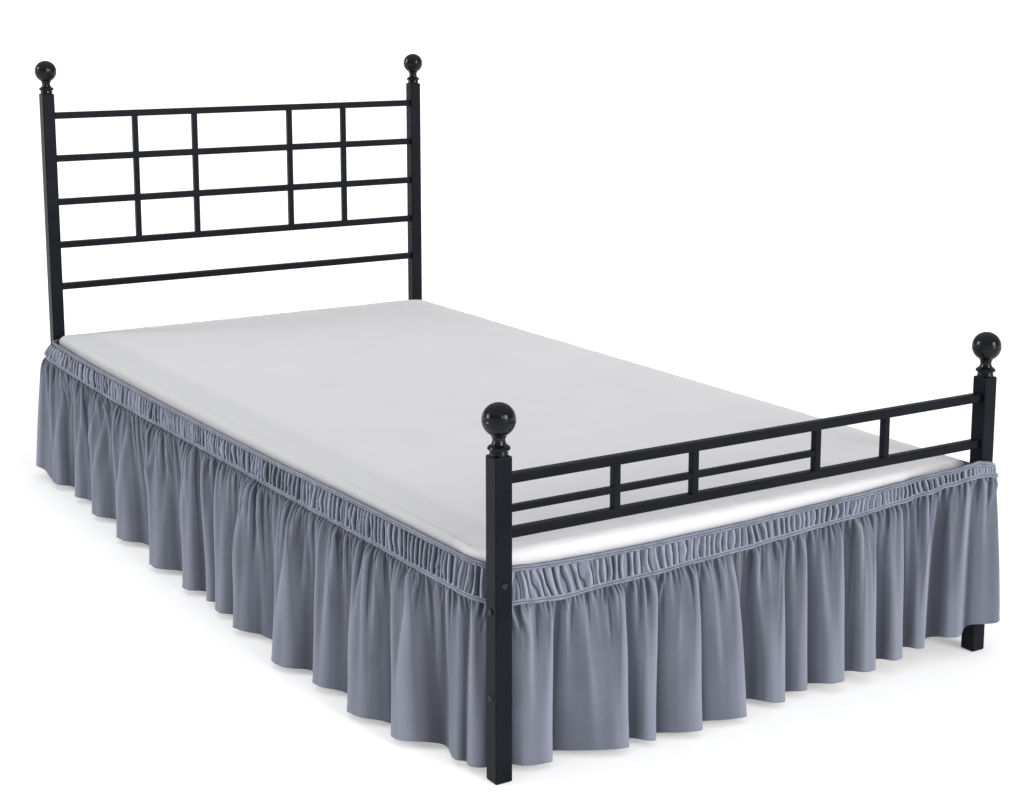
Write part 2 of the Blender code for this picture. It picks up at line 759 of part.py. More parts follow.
def add_bolts(surface, collection):
    """Two bolts on each post's outer side and one on the front of each foot post."""
    stand = POST_SIDE / 2 + PIECE_GAP + BOLT_HEAD / 2
    for label, x, y, way in (("foot_left", 0.0, 0.0, -1), ("head_left", 0.0, POST_SPACING_Y, -1),
                             ("foot_right", POST_SPACING_X, 0.0, 1),
                             ("head_right", POST_SPACING_X, POST_SPACING_Y, 1)):
        for at, z in zip(("low", "high"), SIDE_BOLT_Z):
            bolt(f"bolt_{label}_{at}", (x + way * stand, y, z),
                 "-x" if way < 0 else "+x", surface, collection)
    for label, x in (("left", 0.0), ("right", POST_SPACING_X)):
        bolt(f"bolt_front_{label}", (x, -stand, FRONT_BOLT_Z), "-y", surface, collection)


def mattress_ring(inset, z, soften):
    """One rounded outline of the mattress, drawn in by inset and rounded more by soften."""
    low_x, high_x = MATTRESS_LEFT + inset, MATTRESS_RIGHT - inset
    low_y, high_y = MATTRESS_FOOT + inset, MATTRESS_HEAD - inset
    foot_left, foot_right, head_right, head_left = [
        max(radius - min(inset, MATTRESS_ROLL) + soften, 0.004) for radius in MATTRESS_CORNERS]
    corners = ((high_x - foot_right, low_y + foot_right, foot_right, -90),
               (high_x - head_right, high_y - head_right, head_right, 0),
               (low_x + head_left, high_y - head_left, head_left, 90),
               (low_x + foot_left, low_y + foot_left, foot_left, 180))
    line = []
    for centre_x, centre_y, radius, start in corners:
        for step in range(6):
            turn = math.radians(start + 90 * step / 5)
            line.append((centre_x + radius * math.cos(turn),
                         centre_y + radius * math.sin(turn), z))
    return line


def add_mattress(surface, collection):
    """A thin mattress: rounded outline, rolled edges, slightly crowned top."""
    roll = MATTRESS_ROLL
    top = MATTRESS_TOP
    crown = MATTRESS_CROWN
    rows = ((0.012, MATTRESS_LOW, 0.0), (0.003, MATTRESS_LOW + 0.004, 0.0),
            (0.0, MATTRESS_LOW + 0.012, 0.0), (0.0, top - roll, 0.0),
            (roll * 0.13, top - roll * 0.5, 0.0), (roll * 0.5, top - roll * 0.13, 0.0),
            (roll, top, 0.0), (0.10, top + crown * 0.5, 0.06), (0.24, top + crown, 0.18))
    made = bmesh.new()
    rings = []
    for inset, z, soften in rows:
        ring = []
        for x, y, height in mattress_ring(inset, z, soften):
            px, py = place(x, y)
            ring.append(made.verts.new((px, py, height)))
        rings.append(ring)
    count = len(rings[0])
    for lower, upper in zip(rings, rings[1:]):
        for at in range(count):
            after = (at + 1) % count
            made.faces.new((lower[at], lower[after], upper[after], upper[at]))
    made.faces.new(list(reversed(rings[0])))
    made.faces.new(rings[-1])
    return add_object("mattress", made, surface, collection, 50)


def add_skirt(cloth, tape, collection):
    """Top tape, heading, lower tape and the gathered drop in its three panels."""
    stations = band_stations()
    gap = CLOTH_GAP / 2
    tape_stand = (TAPE_CLOTH - BAND_CLOTH) / 2
    half_low = LOW_TAPE_HIGH / 2
    sheet_solid("top_tape", band_levels(stations, (
        (False, 0.0, tape_stand), (False, TOP_TAPE_HIGH, tape_stand))),
        TAPE_CLOTH, True, tape, collection)
    sheet_solid("heading", band_levels(stations, (
        (False, TOP_TAPE_HIGH + gap, 0.0), (True, -half_low - gap, 0.0))),
        BAND_CLOTH, True, cloth, collection)
    sheet_solid("lower_tape", band_levels(stations, (
        (True, -half_low, tape_stand), (True, half_low, tape_stand))),
        TAPE_CLOTH, True, tape, collection)
    left = corner_marks("C", CORNER_C_TURN) + fold_marks("left", LEFT_FOLDS)
    left = left + corner_marks("A", CORNER_A_LEFT)
    head = fold_marks("head", HEAD_FOLDS)
    head = [("head", 0.936, 0.003), ("head", 0.910, 0.003)] + head
    head = head + [("head", 0.050, 0.003), ("head", 0.024, 0.003)]
    front = corner_marks("A", CORNER_A_FOOT) + fold_marks("foot", FOOT_FOLDS)
    front = front + corner_marks("B", CORNER_B_TURN) + fold_marks("right", RIGHT_FOLDS)
    front = front + corner_marks("D", CORNER_D_TURN)
    for name, marks in (("drop_left", left), ("drop_head", head), ("drop_foot_right", front)):
        sheet_solid(name, drop_levels(fold_stations(marks)), DROP_CLOTH, False,
                    cloth, collection)


def main():
    """Build every piece into one collection."""
    clear_scene()
    collection = bpy.data.collections.new("bed_skirt")
    bpy.context.scene.collection.children.link(collection)
    steel = material("black_powder_coat", (0.012, 0.013, 0.016), 0.38, coat=0.2)
    gloss = material("black_gloss", (0.008, 0.008, 0.010), 0.16, coat=0.5)
    zinc = material("bolt_black", (0.010, 0.010, 0.012), 0.45, metallic=0.6)
    wood = material("slat_wood", (0.52, 0.38, 0.24), 0.6)
    cloth = material("grey_microfibre", (0.175, 0.19, 0.235), 0.75, sheen=0.4)
    tape = material("grey_tape", (0.155, 0.17, 0.21), 0.7, sheen=0.2)
    ticking = material("white_ticking", (0.78, 0.78, 0.80), 0.85, sheen=0.2)
    add_skirt(cloth, tape, collection)
    add_mattress(ticking, collection)
    add_posts(steel, gloss, collection)
    add_head_panel(steel, collection)
    add_foot_panel(steel, collection)
    add_base(steel, wood, collection)
    add_bolts(zinc, collection)


main()
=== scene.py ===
"""Looks of a gathered bed skirt on its metal bed and thin mattress.

Metres, Z up, floor at z = 0.  The foot of the bed is at -Y and the head at +Y.
Plan distances in the tables are measured from the axis of the foot left post:
"along" runs to the right on the foot and head sides and to the head on the long
sides, and "out" is how far the cloth stands outside the line of the post axes.
"""

import logging
import math
from dataclasses import dataclass, field
from enum import Enum
from typing import NamedTuple

import bmesh
import bpy
import numpy as np
from mathutils import Matrix, Vector


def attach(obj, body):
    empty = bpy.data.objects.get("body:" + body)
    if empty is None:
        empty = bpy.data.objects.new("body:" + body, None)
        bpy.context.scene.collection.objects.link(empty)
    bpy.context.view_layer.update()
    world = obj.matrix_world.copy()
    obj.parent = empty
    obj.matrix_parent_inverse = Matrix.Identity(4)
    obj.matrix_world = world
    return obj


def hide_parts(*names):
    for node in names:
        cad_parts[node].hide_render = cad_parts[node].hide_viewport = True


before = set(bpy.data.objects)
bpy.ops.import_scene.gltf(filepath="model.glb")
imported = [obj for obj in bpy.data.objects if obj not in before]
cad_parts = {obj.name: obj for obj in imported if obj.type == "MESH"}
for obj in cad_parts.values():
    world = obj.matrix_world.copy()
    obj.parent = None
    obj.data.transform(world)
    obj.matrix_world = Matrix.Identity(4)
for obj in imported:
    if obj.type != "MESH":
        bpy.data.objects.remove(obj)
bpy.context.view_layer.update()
LOG = logging.getLogger("bed_skirt")

POST_SPACING_X = 0.960
POST_SPACING_Y = 1.970
CENTRE = (POST_SPACING_X / 2 - 0.0080, POST_SPACING_Y / 2 - 0.0015)
TOP_TAPE_HIGH = 0.0095
LOW_TAPE_HIGH = 0.0087


# ------------------------------------------------------------ shader writing
class Term:
    """A shader or geometry socket that takes part in Python sums."""

    def __init__(self, bench: "Bench", socket: bpy.types.NodeSocket) -> None:
        """Wrap an output socket.

        Args:
            bench: The tree's bench, which adds the nodes.
            socket: The output socket that carries the value.
        """
        self.bench = bench
        self.socket = socket

    def _math(self, operation: str, first: object, second: object) -> "Term":
        """Add one Math node.

        Args:
            operation: Blender's name for the sum.
            first: Its first value, a term or a number.
            second: Its second value.

        Returns:
            The result as a term.
        """
        return self.bench.out("ShaderNodeMath", {"operation": operation}, {0: first, 1: second})

    def __add__(self, other: object) -> "Term":
        """Sum."""
        return self._math("ADD", self, other)

    def __radd__(self, other: object) -> "Term":
        """Sum, the other way round."""
        return self._math("ADD", other, self)

    def __sub__(self, other: object) -> "Term":
        """Difference."""
        return self._math("SUBTRACT", self, other)

    def __rsub__(self, other: object) -> "Term":
        """Difference, the other way round."""
        return self._math("SUBTRACT", other, self)

    def __mul__(self, other: object) -> "Term":
        """Product."""
        return self._math("MULTIPLY", self, other)

    def __rmul__(self, other: object) -> "Term":
        """Product, the other way round."""
        return self._math("MULTIPLY", other, self)

    def eased(self, low: float, high: float) -> "Term":
        """Rise smoothly from 0 at low to 1 at high."""
        return self.bench.out("ShaderNodeMapRange", {"interpolation_type": "SMOOTHSTEP"},
                              {"Value": self, "From Min": low, "From Max": high})


class Bench:
    """One node tree, and the nodes that finishes and stitches are made of."""

    def __init__(self, tree: bpy.types.NodeTree) -> None:
        """Start from a tree.

        Args:
            tree: The node tree to write in.
        """
        self.tree = tree

    def node(self, kind: str, settings: dict, values: dict) -> bpy.types.Node:
        """Add a node.

        Args:
            kind: Blender's type name.
            settings: Its properties, set first.
            values: Numbers, colours or terms for its sockets, by name or index.

        Returns:
            The node.
        """
        made = self.tree.nodes.new(kind)
        for name, value in settings.items():
            setattr(made, name, value)
        for name, value in values.items():
            if isinstance(value, Term):
                self.tree.links.new(value.socket, made.inputs[name])
            else:
                made.inputs[name].default_value = value
        return made

    def out(self, kind: str, settings: dict, values: dict, name: object = 0) -> Term:
        """Add a node, as node() does, and wrap one of its outputs."""
        return Term(self, self.node(kind, settings, values).outputs[name])

    def place(self, stretch: tuple = (1.0, 1.0, 1.0), source: str = "Object") -> Term:
        """Coordinates, stretched along their axes.

        Args:
            stretch: How much, along each axis.
            source: "Object" for metres on the bed, "UV" for metres of cloth.

        Returns:
            The coordinates as a term.
        """
        where = self.out("ShaderNodeTexCoord", {}, {}, source)
        return self.out("ShaderNodeMapping", {}, {"Vector": where, "Scale": stretch})

    def noise(self, where: Term, scale: float, detail: float = 2.0,
              rough: float = 0.5) -> Term:
        """Soft noise between 0 and 1.

        Args:
            where: Coordinates.
            scale: Blotches in a metre, or in a unit of the coordinates.
            detail: How many finer layers it has.
            rough: How strong the finer layers are.

        Returns:
            The noise as a term.
        """
        return self.out("ShaderNodeTexNoise", {}, {"Vector": where, "Scale": scale,
                                                   "Detail": detail, "Roughness": rough})

    def mark(self, name: str) -> Term:
        """A number stored on the mesh's points."""
        return self.out("ShaderNodeAttribute", {"attribute_name": name}, {}, "Fac")

    def tint(self, share: Term, first: Term | tuple, second: tuple) -> Term:
        """A colour that goes from one to another.

        Args:
            share: How far it goes.
            first: The colour at 0, plain or a term.
            second: The plain colour at 1.

        Returns:
            The colour as a term.
        """
        start = first if isinstance(first, Term) else (*first, 1.0)
        return self.out("ShaderNodeMix", {"data_type": "RGBA"},
                        {0: share, 6: start, 7: (*second, 1.0)}, 2)

    def bump(self, height: Term, distance: float) -> Term:
        """A bump whose height of 1 stands for distance."""
        return self.out("ShaderNodeBump", {}, {"Height": height, "Distance": distance,
                                               "Strength": 1.0}, "Normal")

    def surface(self, values: dict) -> None:
        """Add the Principled shader and send it to the output."""
        shader = self.out("ShaderNodeBsdfPrincipled", {}, values, "BSDF")
        self.node("ShaderNodeOutputMaterial", {}, {"Surface": shader})


# ------------------------------------------------------------------ finishes
COOL_SHEEN = (0.86, 0.90, 1.0, 1.0)


class Finish:
    """A finish that can be made into one material."""

    label: str = "finish"

    def dress(self, bench: Bench) -> None:
        """Write the finish's nodes."""
        raise NotImplementedError

    def material(self) -> bpy.types.Material:
        """Make the material once.

        Returns:
            The material, the same each time.
        """
        known = bpy.data.materials.get(self.label)
        if known is not None:
            return known
        made = bpy.data.materials.new(self.label)
        made.use_nodes = True
        made.node_tree.nodes.clear()
        self.dress(Bench(made.node_tree))
        return made


@dataclass(frozen=True)
class BrushedCloth(Finish):
    """Slate grey brushed microfibre: a short nap that is light where it turns away, with
    highlight and shade painted over its folds.
    """

    label: str = "slate_microfibre"
    shade: tuple = (0.100, 0.108, 0.138)
    light: tuple = (0.138, 0.149, 0.186)
    # The next colour is painted highlight on fold crests, then painted shade in fold hollows;
    # the shares say how strongly each is laid on.
    crest: tuple = (0.330, 0.355, 0.430)
    painted_fold_shade: tuple = (0.030, 0.033, 0.045)
    painted_crest_highlight_share: float = 0.46
    painted_fold_shade_share: float = 0.84
    sheen: float = 0.62

    def dress(self, bench: Bench) -> None:
        """Colour by nap, painted highlight on fold crests and painted shade in fold hollows,
        fine nap bump, soft sheen.
        """
        where = bench.place()
        cloud = bench.noise(where, 9.0, 3.0)
        streak = bench.noise(bench.place((60.0, 60.0, 6.0)), 1.0, 3.0)
        speck = bench.noise(where, 700.0, 1.0)
        share = cloud * 0.5 + streak * 0.25 + speck * 0.25
        colour = bench.tint(share.eased(0.30, 0.70), self.shade, self.light)
        # Painted fold light from the fold mark: highlight where the cloth stands proud, shade
        # where it lies deep.
        fold = bench.mark("fold")
        colour = bench.tint(fold.eased(0.52, 1.0) * self.painted_crest_highlight_share, colour, self.crest)
        colour = bench.tint((0.5 - fold).eased(0.0, 0.5) * self.painted_fold_shade_share, colour,
                            self.painted_fold_shade)
        nap = bench.noise(where, 1400.0, 2.0)
        weave = bench.noise(bench.place((900.0, 300.0, 1.0), "UV"), 1.0, 1.0)
        bench.surface({
            "Base Color": colour, "Roughness": 0.78 + speck * 0.12,
            "Specular IOR Level": 0.2, "Sheen Weight": self.sheen,
            "Sheen Roughness": 0.26, "Sheen Tint": COOL_SHEEN,
            "Normal": bench.bump(nap * 0.6 + weave * 0.4, 0.00022)})


@dataclass(frozen=True)
class TapeCloth(Finish):
    """Narrow woven tape, tighter and a little bluer than the cloth."""

    label: str = "slate_tape"
    shade: tuple = (0.155, 0.173, 0.222)
    light: tuple = (0.255, 0.279, 0.350)
    # Colour of the painted shade in the stitch groove and along the tape's edges.
    groove: tuple = (0.026, 0.031, 0.046)

    def dress(self, bench: Bench) -> None:
        """Ribbed weave along the tape, with painted shade in its groove and along its edges."""
        cloud = bench.noise(bench.place(), 60.0, 3.0)
        rib = bench.noise(bench.place((500.0, 1400.0, 1.0), "UV"), 1.0, 1.0)
        colour = bench.tint((cloud * 0.6 + rib * 0.4).eased(0.32, 0.68), self.shade, self.light)
        # Painted shade from the groove mark: the stitch groove and the rolled edges.
        colour = bench.tint(bench.mark("groove") * 0.80, colour, self.groove)
        bench.surface({"Base Color": colour, "Roughness": 0.72 + rib * 0.12,
                       "Sheen Weight": 0.35, "Sheen Roughness": 0.4,
                       "Sheen Tint": COOL_SHEEN, "Normal": bench.bump(rib, 0.00025)})


@dataclass(frozen=True)
class Thread(Finish):
    """Sewing thread, pale slate with a faint shine."""

    label: str = "slate_thread"

    def dress(self, bench: Bench) -> None:
        """Twist along the thread."""
        twist = bench.noise(bench.place(), 2400.0, 1.0)
        colour = bench.tint(twist, (0.170, 0.190, 0.250), (0.240, 0.265, 0.335))
        bench.surface({"Base Color": colour, "Roughness": 0.5 + twist * 0.15,
                       "Sheen Weight": 0.3, "Normal": bench.bump(twist, 0.0001)})


@dataclass(frozen=True)
class MattressCloth(Finish):
    """White knitted ticking with a soft, uneven pile."""

    label: str = "white_ticking"
    shade: tuple = (0.566, 0.563, 0.583)
    light: tuple = (0.606, 0.604, 0.622)
    # Painted highlight on the rolled edge's raised mottle, then painted shade in its hollows.
    rolled: tuple = (0.64, 0.64, 0.65)
    painted_hollow_shade: tuple = (0.50, 0.50, 0.515)
    # Painted light on the lit walls, painted shade on the shaded ones.
    painted_lit_wall: tuple = (0.690, 0.690, 0.702)
    painted_shaded_wall: tuple = (0.490, 0.492, 0.500)

    def dress(self, bench: Bench) -> None:
        """Faint clouds over the top, stronger towards the rolled edge, with light and shade
        painted on the edge and the walls.
        """
        where = bench.place()
        edge = bench.mark("edge")
        cloud = bench.noise(where, 7.0, 4.0, 0.6)
        mottle = bench.noise(where, 48.0, 3.0, 0.6)
        knit = bench.noise(where, 520.0, 2.0)
        share = cloud * 0.55 + knit * 0.20 + 0.12
        colour = bench.tint(share.eased(0.25, 0.75), self.shade, self.light)
        # Lighter where the edge's mottled bump stands up and darker where it sinks: painted
        # highlight and painted shade.
        colour = bench.tint(edge * mottle.eased(0.35, 0.62) * 0.6, colour, self.rolled)
        colour = bench.tint(edge * (1.0 - mottle.eased(0.28, 0.42)) * 0.30, colour, self.painted_hollow_shade)
        # Painted light on the foot wall and low on the left wall, painted shade over the left
        # roll.
        painted_wall_light = bench.mark("painted_wall_light")
        colour = bench.tint(painted_wall_light.eased(0.5, 1.0) * 0.9, colour, self.painted_lit_wall)
        colour = bench.tint((1.0 - painted_wall_light).eased(0.5, 1.0) * 0.85, colour, self.painted_shaded_wall)
        height = knit * 0.4 + mottle * edge * 2.2 + cloud * 1.5
        bench.surface({"Base Color": colour, "Roughness": 0.86 + knit * 0.08,
                       "Specular IOR Level": 0.2, "Sheen Weight": 0.15,
                       "Normal": bench.bump(height, 0.0006)})


@dataclass(frozen=True)
class PowderCoat(Finish):
    """Black satin powder coat with a fine orange peel, a little duller in places."""

    label: str = "black_powder_coat"
    low: tuple = (0.0032, 0.0042, 0.0068)
    high: tuple = (0.0056, 0.0070, 0.0108)

    def dress(self, bench: Bench) -> None:
        """Fine peel, soft clouds of gloss."""
        where = bench.place()
        cloud = bench.noise(where, 14.0, 3.0)
        peel = bench.noise(where, 520.0, 2.0)
        dust = bench.noise(where, 1900.0, 1.0)
        colour = bench.tint((cloud * 0.7 + dust * 0.3).eased(0.3, 0.7), self.low, self.high)
        bench.surface({"Base Color": colour, "Roughness": 0.28 + cloud * 0.10 + dust * 0.05,
                       "Specular IOR Level": 0.085, "Normal": bench.bump(peel, 0.00012)})


@dataclass(frozen=True)
class BallGloss(Finish):
    """Glossy black enamel of the ball finials."""

    label: str = "black_enamel"

    def dress(self, bench: Bench) -> None:
        """Smooth enamel with faint ripples."""
        ripple = bench.noise(bench.place(), 90.0, 2.0)
        colour = bench.tint(ripple, (0.003, 0.0034, 0.0048), (0.006, 0.0065, 0.0085))
        bench.surface({"Base Color": colour, "Roughness": 0.13 + ripple * 0.06,
                       "Specular IOR Level": 0.18, "Coat Weight": 0.05,
                       "Coat Roughness": 0.08, "Normal": bench.bump(ripple, 0.00015)})


@dataclass(frozen=True)
class BoltBlack(Finish):
    """Blackened steel of the bolts, rubbed a little bright."""

    label: str = "blackened_bolt"

    def dress(self, bench: Bench) -> None:
        """Metal with rubbed spots."""
        rub = bench.noise(bench.place(), 420.0, 3.0)
        colour = bench.tint(rub.eased(0.45, 0.75), (0.012, 0.012, 0.015), (0.075, 0.078, 0.085))
        bench.surface({"Base Color": colour, "Metallic": 0.75, "Roughness": 0.36 + rub * 0.18,
                       "Normal": bench.bump(rub, 0.0001)})


@dataclass(frozen=True)
class SlatWood(Finish):
    """Plain pine of the slats, grain along the slat."""

    label: str = "pine_slat"

    def dress(self, bench: Bench) -> None:
        """Long grain and pores."""
        grain = bench.noise(bench.place((3.0, 90.0, 90.0)), 1.0, 4.0, 0.6)
        pore = bench.noise(bench.place((20.0, 700.0, 700.0)), 1.0, 2.0)
        share = (grain * 0.75 + pore * 0.25).eased(0.35, 0.68)
        colour = bench.tint(share, (0.62, 0.44, 0.26), (0.40, 0.26, 0.14))
        bench.surface({"Base Color": colour, "Roughness": 0.55 + pore * 0.2,
                       "Normal": bench.bump(grain, 0.0003)})


@dataclass(frozen=True)
class PaleFloor(Finish):
    """Matt white studio floor, faintly lit from within."""

    label: str = "pale_floor"

    def dress(self, bench: Bench) -> None:
        """One plain tone."""
        bench.surface({"Base Color": (0.93, 0.93, 0.93, 1.0), "Roughness": 0.9,
                       "Specular IOR Level": 0.1, "Emission Color": (1.0, 1.0, 1.0, 1.0),
                       "Emission Strength": 0.30})


# ------------------------------------------------------------- band and tables
class Stretch(Enum):
    """A side of the bed, or the corner between two sides, walked anticlockwise."""

    FOOT = "foot"
    TURN_B = "B"
    RIGHT = "right"
    TURN_D = "D"
    HEAD = "head"
    TURN_C = "C"
    LEFT = "left"
    TURN_A = "A"


def ease(part: np.ndarray) -> np.ndarray:
    """Smooth step of a part between 0 and 1."""
    part = np.clip(part, 0.0, 1.0)
    return part * part * (3 - 2 * part)


@dataclass
class BandLine:
    """The line of the skirt's heading in plan, walked anticlockwise round the bed.

    Near the foot right corner it shifts from behind the post line to in front of it.
    """

    left_at_foot: float = -0.0170
    left_at_head: float = -0.0240
    foot: float = 0.0200
    right_at_foot: float = 0.9796
    right_at_head: float = 0.9660
    head: float = 1.9485
    front_of_post: float = -0.0196
    shift_start: float = 0.800
    shift_end: float = 0.925
    corner_a: float = 0.060
    corner_b: float = 0.0106
    corner_head: float = 0.030
    pace: float = 0.002
    ends: dict = field(init=False)
    corners: dict = field(init=False)
    round: float = field(init=False)

    def __post_init__(self) -> None:
        """Work out corners, the ends of each stretch and the traced line."""
        a = (self.left_at_foot + self.corner_a, self.foot + self.corner_a)
        b = (self.right_at_foot - self.corner_b, self.front_of_post + self.corner_b)
        d = (self.right_at_head - self.corner_head, self.head - self.corner_head)
        c = (self.left_at_head + self.corner_head, self.head - self.corner_head)
        self.corners = {Stretch.TURN_A: (a, self.corner_a, 180.0),
                        Stretch.TURN_B: (b, self.corner_b, 270.0),
                        Stretch.TURN_D: (d, self.corner_head, 0.0),
                        Stretch.TURN_C: (c, self.corner_head, 90.0)}
        self.ends = dict.fromkeys(Stretch, (0.0, 90.0))
        self.ends.update({Stretch.FOOT: (a[0], b[0]), Stretch.RIGHT: (b[1], d[1]),
                          Stretch.HEAD: (d[0], c[0]), Stretch.LEFT: (c[1], a[1])})
        self.round = sum(self._run(s, *self.ends[s]) for s in Stretch)
        self._trace()

    def _run(self, stretch: Stretch, start: float, end: float) -> float:
        """Length of part of a stretch.

        Args:
            stretch: The side or corner.
            start: Where the part starts, in metres or degrees.
            end: Where it ends.

        Returns:
            Metres walked.
        """
        if stretch in self.corners:
            return abs(end - start) * math.radians(1) * self.corners[stretch][1]
        return abs(end - start)

    def walk(self, stretch: Stretch, along: float) -> float:
        """Distance walked to a place on a stretch.

        Args:
            stretch: The side or corner.
            along: Distance on a side, or degrees turned on a corner.

        Returns:
            Metres from the start of the foot side.
        """
        walked = 0.0
        for passed in Stretch:
            if passed is stretch:
                break
            walked += self._run(passed, *self.ends[passed])
        return walked + self._run(stretch, self.ends[stretch][0], along)

    def _point(self, stretch: Stretch, along: float) -> tuple:
        """Plan point of a place on the line.

        Args:
            stretch: The side or corner.
            along: Distance on a side, or degrees turned on a corner.

        Returns:
            x and y, measured from the foot left post.
        """
        if stretch is Stretch.FOOT:
            part = (along - self.shift_start) / (self.shift_end - self.shift_start)
            return along, self.foot + (self.front_of_post - self.foot) * float(ease(part))
        if stretch is Stretch.HEAD:
            return along, self.head
        if stretch in (Stretch.RIGHT, Stretch.LEFT):
            at_foot, at_head = ((self.right_at_foot, self.right_at_head)
                                if stretch is Stretch.RIGHT
                                else (self.left_at_foot, self.left_at_head))
            return at_foot + (at_head - at_foot) * (along / self.head), along
        centre, radius, start = self.corners[stretch]
        turn = math.radians(start + along)
        return centre[0] + radius * math.cos(turn), centre[1] + radius * math.sin(turn)

    def _trace(self) -> None:
        """Sample the whole line finely, with its outward directions."""
        walks, points = [], []
        for stretch in Stretch:
            start, end = self.ends[stretch]
            steps = max(4, round(self._run(stretch, start, end) / self.pace))
            for step in range(steps):
                along = start + (end - start) * step / steps
                walks.append(self.walk(stretch, along))
                points.append(self._point(stretch, along))
        plan = np.array(points)
        ahead = np.roll(plan, -1, axis=0) - np.roll(plan, 1, axis=0)
        ahead /= np.linalg.norm(ahead, axis=1)[:, None]
        traced = np.hstack([plan, ahead])
        self._walks = np.concatenate([walks, [self.round]])
        self._traced = np.vstack([traced, traced[:1]])

    def at(self, walks: np.ndarray) -> tuple:
        """Points and outward directions of the line.

        Args:
            walks: Distances walked, any shape.

        Returns:
            x, y, outward x and outward y, in the frame centred on the bed.
        """
        here = np.mod(walks, self.round)
        x, y, run_x, run_y = [np.interp(here, self._walks, row) for row in self._traced.T]
        size = np.hypot(run_x, run_y)
        return x - CENTRE[0], y - CENTRE[1], run_y / size, -run_x / size

    def off(self, stretch: Stretch, along: float, out: float) -> float:
        """Change a distance out of the post axes into one off the band's line.

        Args:
            stretch: The side.
            along: Distance on it.
            out: How far outside the line of the post axes.

        Returns:
            How far off the band's line.
        """
        x, y = self._point(stretch, along)
        return out - {Stretch.FOOT: -y, Stretch.RIGHT: x - POST_SPACING_X, Stretch.LEFT: -x,
                      Stretch.HEAD: y - POST_SPACING_Y}[stretch]

    def set_out(self, walks: np.ndarray, off: np.ndarray, height: np.ndarray) -> np.ndarray:
        """Place points by where they are on the line.

        Args:
            walks: Distances walked.
            off: Distances off the line, outwards.
            height: Heights.

        Returns:
            The points, with a last axis of 3.
        """
        x, y, out_x, out_y = self.at(walks)
        return np.stack([x + out_x * off, y + out_y * off, height], axis=-1)

    def eased(self, rows: tuple, column: str, walks: np.ndarray) -> np.ndarray:
        """Read one column of a table, easing between its rows round the bed.

        Args:
            rows: Rows with a stretch, a place along it and named values.
            column: Which value to read.
            walks: Distances walked, any shape.

        Returns:
            The values there.
        """
        points = sorted((self.walk(row.stretch, row.along), getattr(row, column))
                        for row in rows)
        places = np.array([place for place, _ in points] + [points[0][0] + self.round])
        values = np.array([value for _, value in points] + [points[0][1]])
        here = np.mod(walks - places[0], self.round) + places[0]
        slot = np.clip(np.searchsorted(places, here), 1, len(places) - 1)
        part = ease((here - places[slot - 1]) / (places[slot] - places[slot - 1]))
        return values[slot - 1] + (values[slot] - values[slot - 1]) * part

    def levels(self, walks: np.ndarray) -> tuple:
        """Heights of the top edge and of the lower tape's middle, and the lean."""
        return tuple(self.eased(LEVELS, column, walks) for column in ("top", "low", "lean"))


class Level(NamedTuple):
    """Heights of the band at a place, and how far its lower tape leans out of its top.

    A corner's along is its turn in degrees, here and in the other tables.
    """

    stretch: Stretch
    along: float
    top: float
    low: float
    lean: float


class Pucker(NamedTuple):
    """Pitch and depth of the heading's puckers at a place."""

    stretch: Stretch
    along: float
    pitch: float
    depth: float


class HemLevel(NamedTuple):
    """Height of the hem at a place."""

    stretch: Stretch
    along: float
    height: float


def placed_rows(kind: type, table: dict) -> tuple:
    """Named rows from plain ones that are grouped by stretch, which each row gets first."""
    return tuple(kind(stretch, *row) for stretch, rows in table.items() for row in rows)


